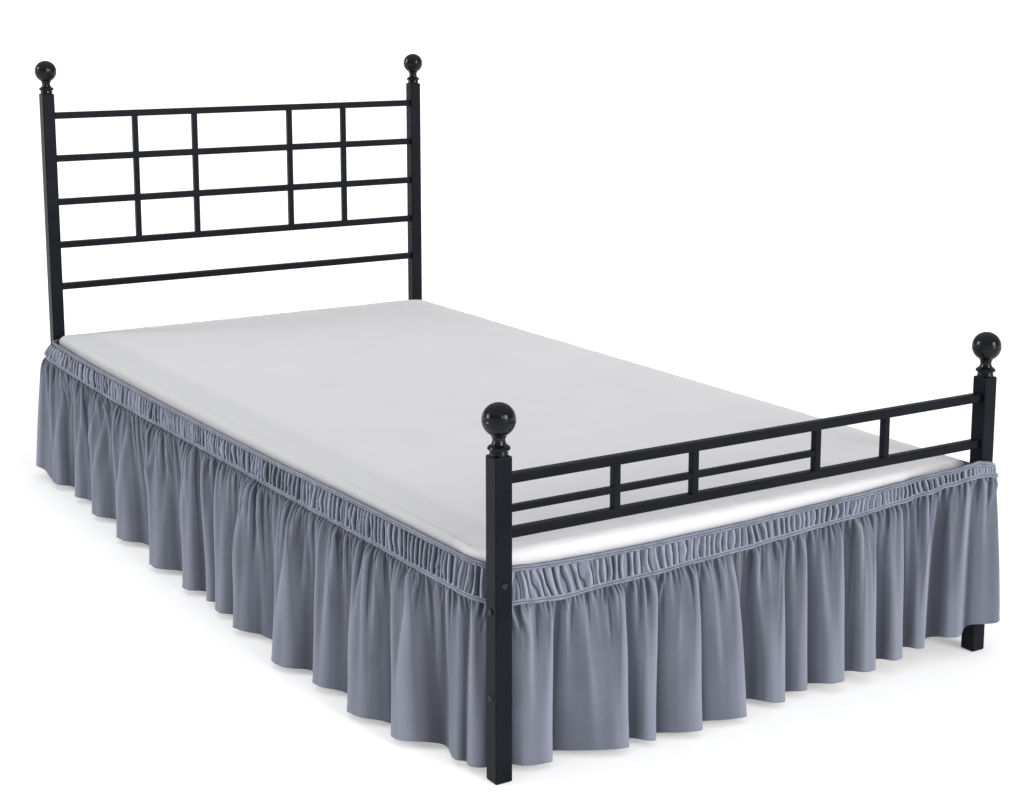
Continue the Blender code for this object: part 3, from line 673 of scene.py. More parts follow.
# along, top, low, lean
LEVELS = placed_rows(Level, {
    Stretch.FOOT: (
        (0.04, 0.3085, 0.2540, 0.003), (0.07, 0.3060, 0.2510, 0.003),
        (0.12, 0.3040, 0.2478, 0.003), (0.19, 0.3026, 0.2522, 0.003),
        (0.28, 0.3022, 0.2540, 0.003), (0.37, 0.3036, 0.2588, 0.003),
        (0.46, 0.3048, 0.2623, 0.003), (0.53, 0.3069, 0.2675, 0.003),
        (0.61, 0.3097, 0.2725, 0.003), (0.68, 0.3123, 0.2763, 0.003),
        (0.80, 0.3178, 0.2845, 0.003), (0.84, 0.3250, 0.2935, 0.003),
        (0.88, 0.3330, 0.3070, 0.002), (0.91, 0.3395, 0.3145, 0.002),
        (0.93, 0.3425, 0.3165, 0.002), (0.955, 0.3385, 0.3155, 0.002),
    ),
    Stretch.TURN_B: (
        (15.0, 0.3320, 0.3110, 0.002), (41.0, 0.3225, 0.3030, 0.003),
        (90.0, 0.3185, 0.2970, 0.003),
    ),
    Stretch.RIGHT: (
        (0.04, 0.3180, 0.2920, 0.004), (0.14, 0.3165, 0.2790, 0.003),
        (0.5, 0.3130, 0.2650, 0.003), (1.4, 0.3110, 0.2615, 0.003), (1.90, 0.318, 0.266, 0.003),
    ),
    Stretch.HEAD: (
        (0.90, 0.318, 0.267, 0.002), (0.50, 0.314, 0.264, 0.002), (0.06, 0.3190, 0.2680, 0.001),
    ),
    Stretch.TURN_C: (
        (30.0, 0.3200, 0.2740, 0.006), (72.0, 0.3205, 0.2870, 0.020),
    ),
    Stretch.LEFT: (
        (1.9, 0.3200, 0.2860, 0.022), (1.85, 0.3178, 0.2765, 0.012),
        (1.77, 0.3144, 0.2695, 0.006), (1.65, 0.3123, 0.2643, 0.003),
        (1.53, 0.3118, 0.2625, 0.003), (1.41, 0.3113, 0.2626, 0.003),
        (1.29, 0.3106, 0.2627, 0.003), (1.17, 0.3108, 0.2637, 0.003),
        (1.05, 0.3113, 0.2650, 0.003), (0.93, 0.3120, 0.2652, 0.003),
        (0.81, 0.3133, 0.2650, 0.003), (0.69, 0.3142, 0.2642, 0.003),
        (0.57, 0.3165, 0.2650, 0.003), (0.45, 0.3188, 0.2657, 0.003),
        (0.33, 0.3200, 0.2663, 0.003), (0.21, 0.3213, 0.2653, 0.003),
        (0.09, 0.3222, 0.2662, 0.003),
    ),
    Stretch.TURN_A: (
        (12.0, 0.3212, 0.2645, 0.003), (30.0, 0.3185, 0.2615, 0.003),
        (65.0, 0.3110, 0.2550, 0.003),
    ),
})
# along, pitch, depth
PUCKERS = placed_rows(Pucker, {
    Stretch.FOOT: (
        (0.04, 0.0150, 0.0058), (0.30, 0.0126, 0.0058), (0.60, 0.0116, 0.0058),
        (0.92, 0.0092, 0.0056),
    ),
    Stretch.RIGHT: (
        (0.90, 0.0118, 0.0056),
    ),
    Stretch.HEAD: (
        (0.50, 0.0124, 0.0060),
    ),
    Stretch.LEFT: (
        (1.90, 0.0150, 0.0082), (1.20, 0.0134, 0.0080), (0.20, 0.0138, 0.0074),
    ),
})
# along, height
HEM_LEVELS = placed_rows(HemLevel, {
    Stretch.FOOT: (
        (0.04, 0.012), (0.52, 0.012), (0.70, 0.023), (0.83, 0.033), (0.89, 0.044),
        (0.93, 0.058), (0.97, 0.054),
    ),
    Stretch.RIGHT: (
        (0.04, 0.050), (0.20, 0.020), (1.90, 0.014),
    ),
    Stretch.HEAD: (
        (0.50, 0.014),
    ),
    Stretch.LEFT: (
        (1.93, 0.030), (1.81, 0.014), (1.40, 0.012), (0.09, 0.012),
    ),
})


class Fold(NamedTuple):
    """A fold at the hem: its crest, the dip after it, and where it starts at the tape.

    On its gentle side the fold stays full for a distance, losing a little.
    """

    crest: float
    crest_out: float
    dip: float
    dip_out: float
    start: float
    full: float = 0.014
    loss: float = 0.0025


class Ridge(NamedTuple):
    """A soft ridge between folds, from its place at the tape to its place at the hem."""

    start: float
    end: float
    high: float
    wide: float
    reach: float


def side_rows(kind: type, table: dict) -> dict:
    """Named rows for each side, from plain ones."""
    return {side: tuple(kind(*row) for row in rows) for side, rows in table.items()}


# crest, crest_out, dip, dip_out, start, full, loss
FOLDS = side_rows(Fold, {
    Stretch.FOOT: (
        (0.085, 0.011, 0.110, -0.020, 0.101), (0.207, 0.033, 0.230, 0.008, 0.218),
        (0.258, 0.031, 0.276, 0.010, 0.296, 0.010), (0.336, 0.042, 0.361, 0.018, 0.362),
        (0.427, 0.036, 0.471, -0.014, 0.432, 0.020), (0.516, 0.022, 0.547, -0.004, 0.529),
        (0.573, 0.013, 0.592, -0.004, 0.582, 0.008), (0.637, 0.027, 0.670, 0.001, 0.662),
        (0.708, 0.025, 0.745, -0.005, 0.732, 0.018), (0.773, 0.020, 0.808, -0.006, 0.795),
        (0.835, 0.018, 0.867, 0.001, 0.846), (0.897, 0.031, 0.930, 0.026, 0.911),
    ),
    Stretch.RIGHT: (
        (0.095, 0.062, 0.150, 0.040, 0.100), (0.215, 0.073, 0.275, 0.042, 0.212),
        (0.340, 0.078, 0.405, 0.046, 0.349), (0.470, 0.075, 0.520, 0.044, 0.462),
        (0.600, 0.082, 0.690, 0.048, 0.608), (0.760, 0.083, 0.815, 0.052, 0.755),
        (0.870, 0.078, 0.930, 0.046, 0.880), (1.010, 0.082, 1.090, 0.047, 1.003),
        (1.170, 0.080, 1.230, 0.044, 1.181), (1.300, 0.077, 1.385, 0.042, 1.296),
        (1.460, 0.074, 1.520, 0.038, 1.452), (1.590, 0.070, 1.655, 0.036, 1.601),
        (1.720, 0.066, 1.780, 0.034, 1.714), (1.835, 0.060, 1.885, 0.030, 1.838),
    ),
    Stretch.HEAD: (
        (0.860, 0.034, 0.800, 0.004, 0.856), (0.735, 0.038, 0.680, 0.006, 0.742),
        (0.615, 0.036, 0.555, 0.002, 0.610), (0.500, 0.040, 0.440, 0.006, 0.497),
        (0.380, 0.036, 0.320, 0.002, 0.386), (0.260, 0.038, 0.205, 0.004, 0.254),
        (0.150, 0.032, 0.095, 0.002, 0.152),
    ),
    Stretch.LEFT: (
        (1.825, 0.071, 1.774, 0.046, 1.920, 0.028, 0.0000),
        (1.690, 0.066, 1.645, 0.050, 1.775, 0.019, 0.0015),
        (1.545, 0.075, 1.478, 0.050, 1.700, 0.025, 0.0020),
        (1.360, 0.087, 1.288, 0.056, 1.555, 0.032, 0.0010),
        (1.155, 0.093, 1.082, 0.058, 1.370, 0.026, 0.0030),
        (0.992, 0.089, 0.950, 0.062, 1.174, 0.020, 0.0020),
        (0.900, 0.078, 0.884, 0.067, 1.072, 0.008, 0.0020),
        (0.848, 0.084, 0.804, 0.067, 0.992, 0.021, 0.0000),
        (0.745, 0.092, 0.685, 0.065, 0.865, 0.018, 0.0020),
        (0.570, 0.097, 0.496, 0.062, 0.716, 0.035, -0.001),
        (0.443, 0.081, 0.390, 0.061, 0.546, 0.021, 0.0010),
        (0.311, 0.087, 0.245, 0.057, 0.414, 0.017, 0.0020),
        (0.195, 0.072, 0.122, 0.018, 0.303, 0.020, 0.0015),
    ),
})
# start, end, high, wide, reach
RIDGES = side_rows(Ridge, {
    Stretch.FOOT: (
        (0.061, 0.052, 0.0020, 0.012, 0.80), (0.153, 0.160, 0.0045, 0.013, 0.90),
        (0.185, 0.190, 0.0025, 0.008, 0.35), (0.262, 0.246, 0.0025, 0.007, 0.45),
        (0.327, 0.300, 0.0025, 0.008, 0.50), (0.390, 0.386, 0.0035, 0.011, 0.85),
        (0.410, 0.404, 0.0020, 0.007, 0.30), (0.480, 0.492, 0.0035, 0.011, 0.75),
        (0.555, 0.556, 0.0020, 0.008, 0.50), (0.612, 0.615, 0.0030, 0.010, 0.80),
        (0.695, 0.690, 0.0025, 0.009, 0.60), (0.762, 0.755, 0.0025, 0.009, 0.60),
        (0.820, 0.820, 0.0020, 0.008, 0.50), (0.880, 0.882, 0.0025, 0.009, 0.60),
        (0.945, 0.945, 0.0025, 0.010, 0.60),
    ),
    Stretch.LEFT: (
        (1.438, 1.363, 0.0035, 0.012, 0.90), (1.259, 1.215, 0.0035, 0.010, 0.60),
        (1.241, 1.120, 0.0035, 0.012, 0.80), (1.112, 1.012, 0.0025, 0.010, 0.70),
        (0.811, 0.764, 0.0045, 0.013, 0.90), (0.775, 0.700, 0.0035, 0.011, 0.75),
        (0.622, 0.556, 0.0050, 0.014, 0.90), (0.590, 0.515, 0.0030, 0.009, 0.55),
        (0.479, 0.417, 0.0045, 0.013, 0.85), (0.361, 0.318, 0.0040, 0.012, 0.90),
        (0.335, 0.270, 0.0035, 0.010, 0.65), (0.229, 0.180, 0.0035, 0.011, 0.90),
        (0.169, 0.126, 0.0030, 0.012, 0.85),
    ),
})

# Where the hem stands off the band line round a corner.  turn in degrees, off
CORNER_A_LEFT = ((6.0, 0.016), (30.0, 0.018), (45.0, 0.015), (55.0, 0.008))
CORNER_A_FOOT = ((70.0, 0.004), (79.0, 0.010), (90.0, 0.021))
CORNER_B_TURN = ((0.0, 0.016), (45.0, 0.021), (90.0, 0.019))
CORNER_D_TURN = ((20.0, 0.030), (40.0, 0.018), (57.0, 0.008))
CORNER_C_TURN = ((6.0, 0.001), (22.0, 0.002), (45.0, 0.020), (70.0, 0.054))
# Where the head panel's ends lie flat on the band line, along the head side.
HEAD_PANEL_ENDS = ((0.936, 0.910), (0.050, 0.024))


# --------------------------------------------------------------- mesh making
def smooth_curve(places: np.ndarray, values: np.ndarray, here: np.ndarray) -> np.ndarray:
    """A curve through points that never overshoots them.

    Args:
        places: Rising places of the points.
        values: Their values.
        here: Places to read.

    Returns:
        The values of the curve.
    """
    span = np.diff(places)
    slope = np.diff(values) / span
    turn = np.zeros(len(places))
    same = slope[:-1] * slope[1:] > 0
    first, second = 2 * span[1:] + span[:-1], span[1:] + 2 * span[:-1]
    turn[1:-1][same] = (first + second)[same] / (first[same] / slope[:-1][same]
                                                 + second[same] / slope[1:][same])
    slot = np.clip(np.searchsorted(places, here) - 1, 0, len(span) - 1)
    wide = span[slot]
    part = np.clip((here - places[slot]) / wide, 0.0, 1.0)
    return ((1 + 2 * part) * (1 - part) ** 2 * values[slot]
            + part * (1 - part) ** 2 * wide * turn[slot]
            + part ** 2 * (3 - 2 * part) * values[slot + 1]
            + part ** 2 * (part - 1) * wide * turn[slot + 1])


def soft_noise(rng: np.random.Generator, here: np.ndarray, pitch: float) -> np.ndarray:
    """Smooth noise between -1 and 1 along a line.

    Args:
        rng: Seeded numbers.
        here: Places on the line.
        pitch: Distance between the noise's knots.

    Returns:
        The noise at each place.
    """
    low, high = float(here.min()) - 2 * pitch, float(here.max()) + 3 * pitch
    knots = np.arange(low, high + pitch, pitch)
    values = rng.uniform(-1.0, 1.0, len(knots))
    slot = np.clip(((here - low) / pitch).astype(int), 0, len(knots) - 2)
    part = ease((here - knots[slot]) / pitch)
    return values[slot] + (values[slot + 1] - values[slot]) * part


def hump(away: np.ndarray, girth: np.ndarray, power: float, dip: float,
         spread: float) -> np.ndarray:
    """A ridge of height 1 with a soft dip beside it.

    Args:
        away: Distances from its middle.
        girth: Its half width.
        power: How square its shoulders are.
        dip: Depth of the dip.
        spread: Half width of the dip, in girths.

    Returns:
        The heights.
    """
    return np.exp(-np.abs(away / girth) ** power) - dip * np.exp(-(away / (girth * spread)) ** 2)


def stand(name: str, data: bpy.types.ID) -> bpy.types.Object:
    """Put a mesh, camera or light in the scene."""
    made = bpy.data.objects.new(name, data)
    bpy.context.scene.collection.objects.link(made)
    return made


def grid_object(name: str, points: np.ndarray, material: bpy.types.Material,
                closed: bool = False, marks: dict | None = None,
                uvs: np.ndarray | None = None, tube: bool = False) -> bpy.types.Object:
    """Make a smooth mesh from a grid of points.

    Args:
        name: The object's name.
        points: Rows by columns by 3; columns run anticlockwise, rows downwards.
        material: Its material.
        closed: Whether the last column joins the first.
        marks: Numbers for each point, by name.
        uvs: Rows by columns by 2, in metres of cloth.
        tube: Whether the last row joins the first.

    Returns:
        The object, linked to the scene.
    """
    rows, columns = points.shape[:2]
    index = np.arange(rows * columns).reshape(rows, columns)
    if closed:
        index = np.hstack([index, index[:, :1]])
    if tube:
        index = np.vstack([index, index[:1]])
    faces = np.stack([index[:-1, :-1], index[1:, :-1], index[1:, 1:], index[:-1, 1:]], axis=-1)
    corners = faces.reshape(-1)
    mesh = bpy.data.meshes.new(name)
    mesh.vertices.add(rows * columns)
    mesh.vertices.foreach_set("co", points.reshape(-1).astype(np.float32))
    mesh.loops.add(len(corners))
    mesh.loops.foreach_set("vertex_index", corners.astype(np.int32))
    mesh.polygons.add(len(corners) // 4)
    mesh.polygons.foreach_set("loop_start", np.arange(0, len(corners), 4, dtype=np.int32))
    mesh.update(calc_edges=True)
    if uvs is not None:
        layer = mesh.uv_layers.new(name="cloth")
        flat = uvs.reshape(-1, 2)[corners]
        layer.data.foreach_set("uv", flat.reshape(-1).astype(np.float32))
    for mark, values in (marks or {}).items():
        held = mesh.attributes.new(mark, "FLOAT", "POINT")
        held.data.foreach_set("value", values.reshape(-1).astype(np.float32))
    mesh.shade_smooth()
    mesh.materials.append(material)
    return stand(name, mesh)


def cloth_uvs(points: np.ndarray) -> np.ndarray:
    """Metres of cloth across and down each point of a grid.

    Args:
        points: Rows by columns by 3.

    Returns:
        Rows by columns by 2.
    """
    across = np.linalg.norm(np.diff(points, axis=1), axis=-1).mean(axis=0)
    down = np.linalg.norm(np.diff(points, axis=0), axis=-1).mean(axis=1)
    u = np.concatenate([[0.0], np.cumsum(across)])
    v = np.concatenate([[0.0], np.cumsum(down)])
    return np.stack(np.broadcast_arrays(u[None, :], -v[:, None]), axis=-1)


def fold_marks(depth: np.ndarray, walks: np.ndarray, sizes: tuple) -> np.ndarray:
    """How far each point stands out of its surroundings: 0 deep, 0.5 level, 1 proud. The cloth
    paints shade where it is deep and highlight where it is proud.

    Args:
        depth: Stand-off of the points, rows by columns.
        walks: Distances walked along the middle row.
        sizes: For each size of fold, the width of its surroundings and the height
            that counts as full.

    Returns:
        The marks, rows by columns.
    """
    even = np.linspace(walks[0], walks[-1], len(walks))
    pace = even[1] - even[0]
    spread = np.array([np.interp(even, walks, row) for row in depth])
    total = np.zeros_like(depth)
    for width, scale in sizes:
        reach = max(int(2.5 * width / pace), 2)
        kernel = np.exp(-(np.arange(-reach, reach + 1) * pace / width) ** 2)
        kernel /= kernel.sum()
        padded = np.pad(spread, ((0, 0), (reach, reach)), mode="reflect")
        level = np.array([np.convolve(row, kernel, mode="valid") for row in padded])
        rise = (spread - level) / scale
        total += np.array([np.interp(walks, even, row) for row in rise])
    return 0.5 + 0.5 * np.tanh(total)


def declare(made: bpy.types.Object, node: str = "") -> None:
    """Ride a piece on the bed and report it.

    Args:
        made: The piece.
        node: The CAD node that it replaces, if it replaces one.
    """
    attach(made, "root")
    if node:
        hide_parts(node)
    LOG.info("%s: %d faces", made.name, len(made.data.polygons))


# -------------------------------------------------------------------- skirt
class Kind(Enum):
    """What a mark on the hem stands for."""

    CREST = "crest"
    FULL = "full"
    DIP = "dip"


class Mark(NamedTuple):
    """A point of the hem, and how far its line has wandered along the band at the tape."""

    walk: float
    off: float
    kind: Kind
    lean: float | None


@dataclass
class Gathers:
    """The small gathers that spring from under a row of stitching.

    They are high times a share from heights, fade over life times one of lives, and run
    towards a crest that is nearer than join.  Lengths of life, rise and widen are parts
    of the way down the panel.
    """

    pitch: float = 0.0086
    spread: float = 0.42
    high: float = 0.0068
    life: float = 0.080
    rise: float = 0.018
    pinch: float = 0.30
    widen: float = 4.0
    peak: float = 1.5
    join: float = 0.035
    drawn: tuple = (0.25, 0.8)
    heights: tuple = (0.55, 1.3)
    lives: tuple = (0.6, 0.9, 1.3, 2.0)
    life_odds: tuple = (0.28, 0.34, 0.24, 0.14)
    girths: tuple = (0.26, 0.36)
    mean_share: float = 0.52
    # Strength of the painted shade line beside each gather.
    crease_shade: float = 0.62
    seed: int = 5

    def lines(self, start: float, end: float) -> np.ndarray:
        """Places of the gathers, unevenly pitched.

        Args:
            start: Distance walked where they start.
            end: Distance walked where they end.

        Returns:
            Distances walked.
        """
        rng = np.random.default_rng(self.seed)
        count = int((end - start) / self.pitch)
        steps = rng.uniform(1 - self.spread, 1 + self.spread, count)
        return start + np.cumsum(steps) / steps.sum() * (end - start)


# Points down a fold's steep side, measured from its crest towards the dip: share of
# the way, the most that may be in metres, share of the fall.  Keyed by the side's way.
STEEP_SIDES = {
    1: ((0.12, 0.004, 0.08), (0.32, 0.010, 0.50), (0.62, 1.0, 1.0)),
    -1: ((0.09, 0.006, 0.08), (0.26, 0.017, 0.46), (0.50, 1.0, 1.0)),
}


@dataclass
class DropPanel:
    """A gathered panel of the drop, from the lower tape to its turned hem.

    Its steep sides all face one way: 1 is onwards round the bed, -1 is back.  step is
    the length of hem between columns, and thin is how far they close up on the right
    side.  crease sets where a gather's painted shade line lies off its middle, in girths.
    swell and wave are the powers with which the drop and its folds stand out downwards.
    valley is how much deeper than the tables the folds cut in, and dip_mark the depth
    that counts as full in the widest fold marks, which paint highlight and shade.
    """

    name: str
    node: str
    line: BandLine
    marks: list
    ridges: list
    cut: tuple
    seed: int
    step: float = 0.00125
    thin: float = 0.0
    way: int = 1
    crease_shade: float = 1.3
    rows: int = 35
    row_crowding: float = 1.45
    swell: float = 0.60
    wave: float = 0.56
    lean_share: float = 0.58
    lean_fade: float = 1.25
    valley: float = 0.0090
    dip_mark: float = 0.032
    soften: float = 0.0023
    crest_high: float = 0.0062
    hem_waver: float = 0.0012
    hem_turn: float = 0.011
    hem_thick: float = 0.0016
    groove_deep: float = 0.00035
    groove_wide: float = 0.0011
    end_ease: float = 0.012
    tuck: float = 0.0016
    fine: Gathers = field(init=False)
    middling: Gathers = field(init=False)
    hem_walk: np.ndarray = field(init=False)
    top_walk: np.ndarray = field(init=False)
    # Painted shade lines beside the gathers, taken off the fold mark.
    painted_crease_shade: np.ndarray = field(init=False)

    def __post_init__(self) -> None:
        """Set out the columns and the two sizes of gathers."""
        self.fine = Gathers(seed=self.seed + 50)
        self.middling = Gathers(pitch=0.026, spread=0.45, high=0.0090, life=0.30, rise=0.055,
                                pinch=0.08, widen=0.7, peak=1.4, seed=77)
        self.hem_walk = self._columns()
        self.top_walk = self.hem_walk + self._leaning()
        self.painted_crease_shade = np.zeros((self.rows, len(self.hem_walk)))

    def profile(self, walks: np.ndarray) -> np.ndarray:
        """How far the hem stands off the band's line.

        Args:
            walks: Distances walked.

        Returns:
            The hem's stand-off at each.
        """
        points = []
        for at, mark in enumerate(self.marks):
            points.append((mark.walk, mark.off))
            if mark.kind is Kind.CREST and 0 <= at + self.way < len(self.marks):
                dip = self.marks[at + self.way]
                gap = abs(dip.walk - mark.walk)
                depth = mark.off - (dip.off - self.valley)
                points += [(mark.walk + self.way * min(most, share * gap),
                            mark.off - fall * depth)
                           for share, most, fall in STEEP_SIDES[self.way]]
        places, values = np.array(sorted(points)).T
        pace, past = 0.0004, 0.012
        even = np.arange(walks.min() - past, walks.max() + past, pace)
        kernel = np.exp(-(np.arange(-24, 25) * pace / self.soften) ** 2 / 2)
        smooth = smooth_curve(places, values, even)
        return np.interp(walks, even, np.convolve(smooth, kernel / kernel.sum(), mode="same"))

    def _leaning(self) -> np.ndarray:
        """How far each column has wandered along the band at the tape.

        Returns:
            Metres, forwards round the bed.
        """
        held = np.array([(mark.walk, mark.lean) for mark in self.marks
                         if mark.lean is not None])
        return smooth_curve(held[:, 0], held[:, 1], self.hem_walk) * self.lean_share

    def _columns(self) -> np.ndarray:
        """Set out the columns, closer where the hem is steep.

        Returns:
            Distances walked.
        """
        sample = np.linspace(self.marks[0].walk, self.marks[-1].walk, 12000)
        pace = np.sqrt(1 + (0.7 * np.gradient(self.profile(sample), sample)) ** 2)
        pace *= 1 - self.thin * ease((sample - self.line.walk(Stretch.RIGHT, 0.05)) / 0.05)
        length = np.concatenate([[0.0], np.cumsum((pace[1:] + pace[:-1]) / 2 * np.diff(sample))])
        return np.interp(np.linspace(0, length[-1], int(length[-1] / self.step)), length, sample)

    def _mean_hem(self) -> np.ndarray:
        """The hem's stand-off with its folds smoothed away.

        Returns:
            A stand-off for each column.
        """
        walks = self.hem_walk
        kernel = np.exp(-np.linspace(-2, 2, 161) ** 2)
        pace = (walks[-1] - walks[0]) / 2400
        even = np.arange(walks[0] - 80 * pace, walks[-1] + 80.5 * pace, pace)
        mean = np.convolve(self.profile(even), kernel / kernel.sum(), mode="same")
        return np.interp(walks, even, mean)

    def surface(self) -> tuple:
        """Work out the panel's points.

        Returns:
            Points with the turned hem, and the stand-off without it, rows by columns.
        """
        rng = np.random.default_rng(self.seed)
        hem_walk = self.hem_walk
        down = (np.linspace(0.0, 1.0, self.rows) ** self.row_crowding)[:, None]
        walks = hem_walk + (self.top_walk - hem_walk) * (1 - down) ** self.lean_fade
        _, low, lean = self.line.levels(walks)
        hem = self.line.eased(HEM_LEVELS, "height", walks)
        hem = hem + self.hem_waver * soft_noise(rng, hem_walk, 0.05)
        off_hem, mean = self.profile(hem_walk), self._mean_hem()
        off = lean + (mean - lean) * down ** self.swell + (off_hem - mean) * down ** self.wave
        off = off + self._ridges(down)
        off = off + self._crests(down)
        off = off + self._gathers(self.middling, down, rng)
        off = off + self._gathers(self.fine, down, rng)
        ends = ease((hem_walk - hem_walk[0]) / self.end_ease) * ease(
            (hem_walk[-1] - hem_walk) / self.end_ease)
        soft = 0.0011 * soft_noise(rng, hem_walk, 0.022) * ease(down * 2.2)
        soft = soft + 0.0009 * soft_noise(rng, hem_walk, 0.041) * np.sin(down * 5.0)
        off = off + soft * ends
        top = low - LOW_TAPE_HIGH / 2 + self.tuck
        height = top + (hem - top) * down
        off = off - self.groove_deep * np.exp(
            -((height - hem - self.hem_turn) / self.groove_wide) ** 2)
        return self._lay(walks, off, height), off

    def _lay(self, walks: np.ndarray, off: np.ndarray, height: np.ndarray) -> np.ndarray:
        """Put the sheet in place and turn its hem up inside.

        Args:
            walks: Distances walked, rows by columns.
            off: Distances off the band's line.
            height: Heights.

        Returns:
            The points, with five more rows for the turned hem.
        """
        sheet = self.line.set_out(walks, off, height)
        last = sheet[-1]
        run = np.gradient(last[:, :2], axis=0)
        run /= np.linalg.norm(run, axis=1)[:, None]
        inward = np.stack([-run[:, 1], run[:, 0], np.zeros(len(run))], axis=-1)
        turned = []
        half = self.hem_thick / 2
        for turn in (50.0, 100.0, 150.0):
            bend = math.radians(turn)
            turned.append(last + inward * half * (1 - math.cos(bend))
                          - np.array([0, 0, half * math.sin(bend)]))
        for rise in (0.004, self.hem_turn):
            turned.append(self._at_height(sheet, last[:, 2] + rise) + inward * self.hem_thick)
        return np.concatenate([sheet, np.array(turned)], axis=0)

    @staticmethod
    def _at_height(sheet: np.ndarray, height: np.ndarray) -> np.ndarray:
        """Points of the sheet's columns at given heights.

        Args:
            sheet: Rows by columns by 3.
            height: A height for each column.

        Returns:
            A point for each column.
        """
        rows = np.argmin(np.abs(sheet[:, :, 2] - height), axis=0)
        picked = sheet[rows, np.arange(sheet.shape[1])].copy()
        picked[:, 2] = height
        return picked

    def _ridges(self, down: np.ndarray) -> np.ndarray:
        """Soft ridges between the folds.

        Args:
            down: Part of the way down of each row.

        Returns:
            Their stand-off, rows by columns.
        """
        share = (1 - down) ** self.lean_fade
        here = self.hem_walk + (self.top_walk - self.hem_walk) * share
        rise = np.minimum(down / 0.06, 1.0) ** 0.5
        total = np.zeros(here.shape)
        for start, end, high, wide, reach in self.ridges:
            centre = end + (start - end) * share
            girth = wide * (0.55 + 0.9 * down)
            fall = 1 - ease((down - reach * 0.55) / (reach * 0.65))
            total += 1.7 * high * rise * np.clip(fall, 0.30, 1) * hump(
                here - centre, girth, 1.7, 0.45, 2.1)
        return total

    def _crests(self, down: np.ndarray) -> np.ndarray:
        """Keep each fold's crest crisp up to the tape.

        Args:
            down: Part of the way down of each row.

        Returns:
            The crests' added stand-off, rows by columns.
        """
        girth = 0.0045 + 0.007 * down
        rise = np.minimum(down / 0.05, 1.0) ** 0.5 * (1 - ease((down - 0.25) / 0.6))
        return sum(self.crest_high * rise * hump(self.hem_walk - mark.walk, girth, 1.6, 0.4, 2.4)
                   for mark in self.marks if mark.kind is Kind.CREST)

    def _gathers(self, size: Gathers, down: np.ndarray,
                 rng: np.random.Generator) -> np.ndarray:
        """Gathers of one size, which run together below the tape and fade, each with a painted
        shade line beside it.

        Args:
            size: Their pitch, height and life.
            down: Part of the way down of each row.
            rng: Seeded numbers for their unevenness.

        Returns:
            Their stand-off, rows by columns.
        """
        top_walk = self.top_walk
        crests = np.array([np.interp(mark.walk, self.hem_walk, top_walk)
                           for mark in self.marks if mark.kind is Kind.CREST]
                          + [ridge.start for ridge in self.ridges])
        crests.sort()
        total = np.zeros(self.painted_crease_shade.shape)
        for place in size.lines(float(top_walk.min()), float(top_walk.max())):
            high = size.high * rng.uniform(*size.heights)
            life = size.life * rng.choice(size.lives, p=size.life_odds)
            gap = crests[np.argmin(np.abs(crests - place))] - place
            if abs(gap) < size.join:
                shift = gap * rng.uniform(*size.drawn)
            else:
                shift = rng.uniform(-0.3, 0.3) * size.pitch
            centre = place + shift * ease(0.12 + 0.88 * down / (size.life * 3.2))
            girth = size.pitch * rng.uniform(*size.girths) * (1 + size.widen * down)
            picked = np.abs(top_walk - place) < float(girth.max()) * 3 + abs(shift)
            here = top_walk[None, picked]
            bump = np.exp(-np.abs((here - centre) / girth) ** size.peak)
            total[:, picked] += high * np.exp(-(down / life) ** 1.5) * bump
            # A painted shade line beside each gather, a little off its middle.
            base = centre - self.way * self.crease_shade * girth
            line = np.exp(-((here - base) / (0.0007 + 0.12 * girth)) ** 2)
            self.painted_crease_shade[:, picked] += size.crease_shade * high / size.high * np.exp(
                -(down / (0.8 * life)) ** 1.5) * line
        squeeze = size.pinch + (1 - size.pinch) * ease(down / size.rise)
        level = np.exp(-(down / size.life) ** 1.5) * size.high * size.mean_share
        return (total - level) * squeeze

    def build(self, material: bpy.types.Material) -> None:
        """Args:
            material: The cloth.
        """
        points, off = self.surface()
        mark = fold_marks(off, self.hem_walk,
                          ((0.0045, 0.0024), (0.018, 0.0080), (0.050, self.dip_mark)))
        # Take the painted shade lines off the fold mark, which paints highlight and shade on the
        # cloth.
        mark = np.clip(mark - self.painted_crease_shade, 0.0, 1.0)
        mark = np.vstack([mark, np.repeat(mark[-1:], len(points) - len(mark), axis=0)])
        made = grid_object(self.name, points, material, marks={"fold": mark},
                           uvs=cloth_uvs(points))
        declare(made, self.node)


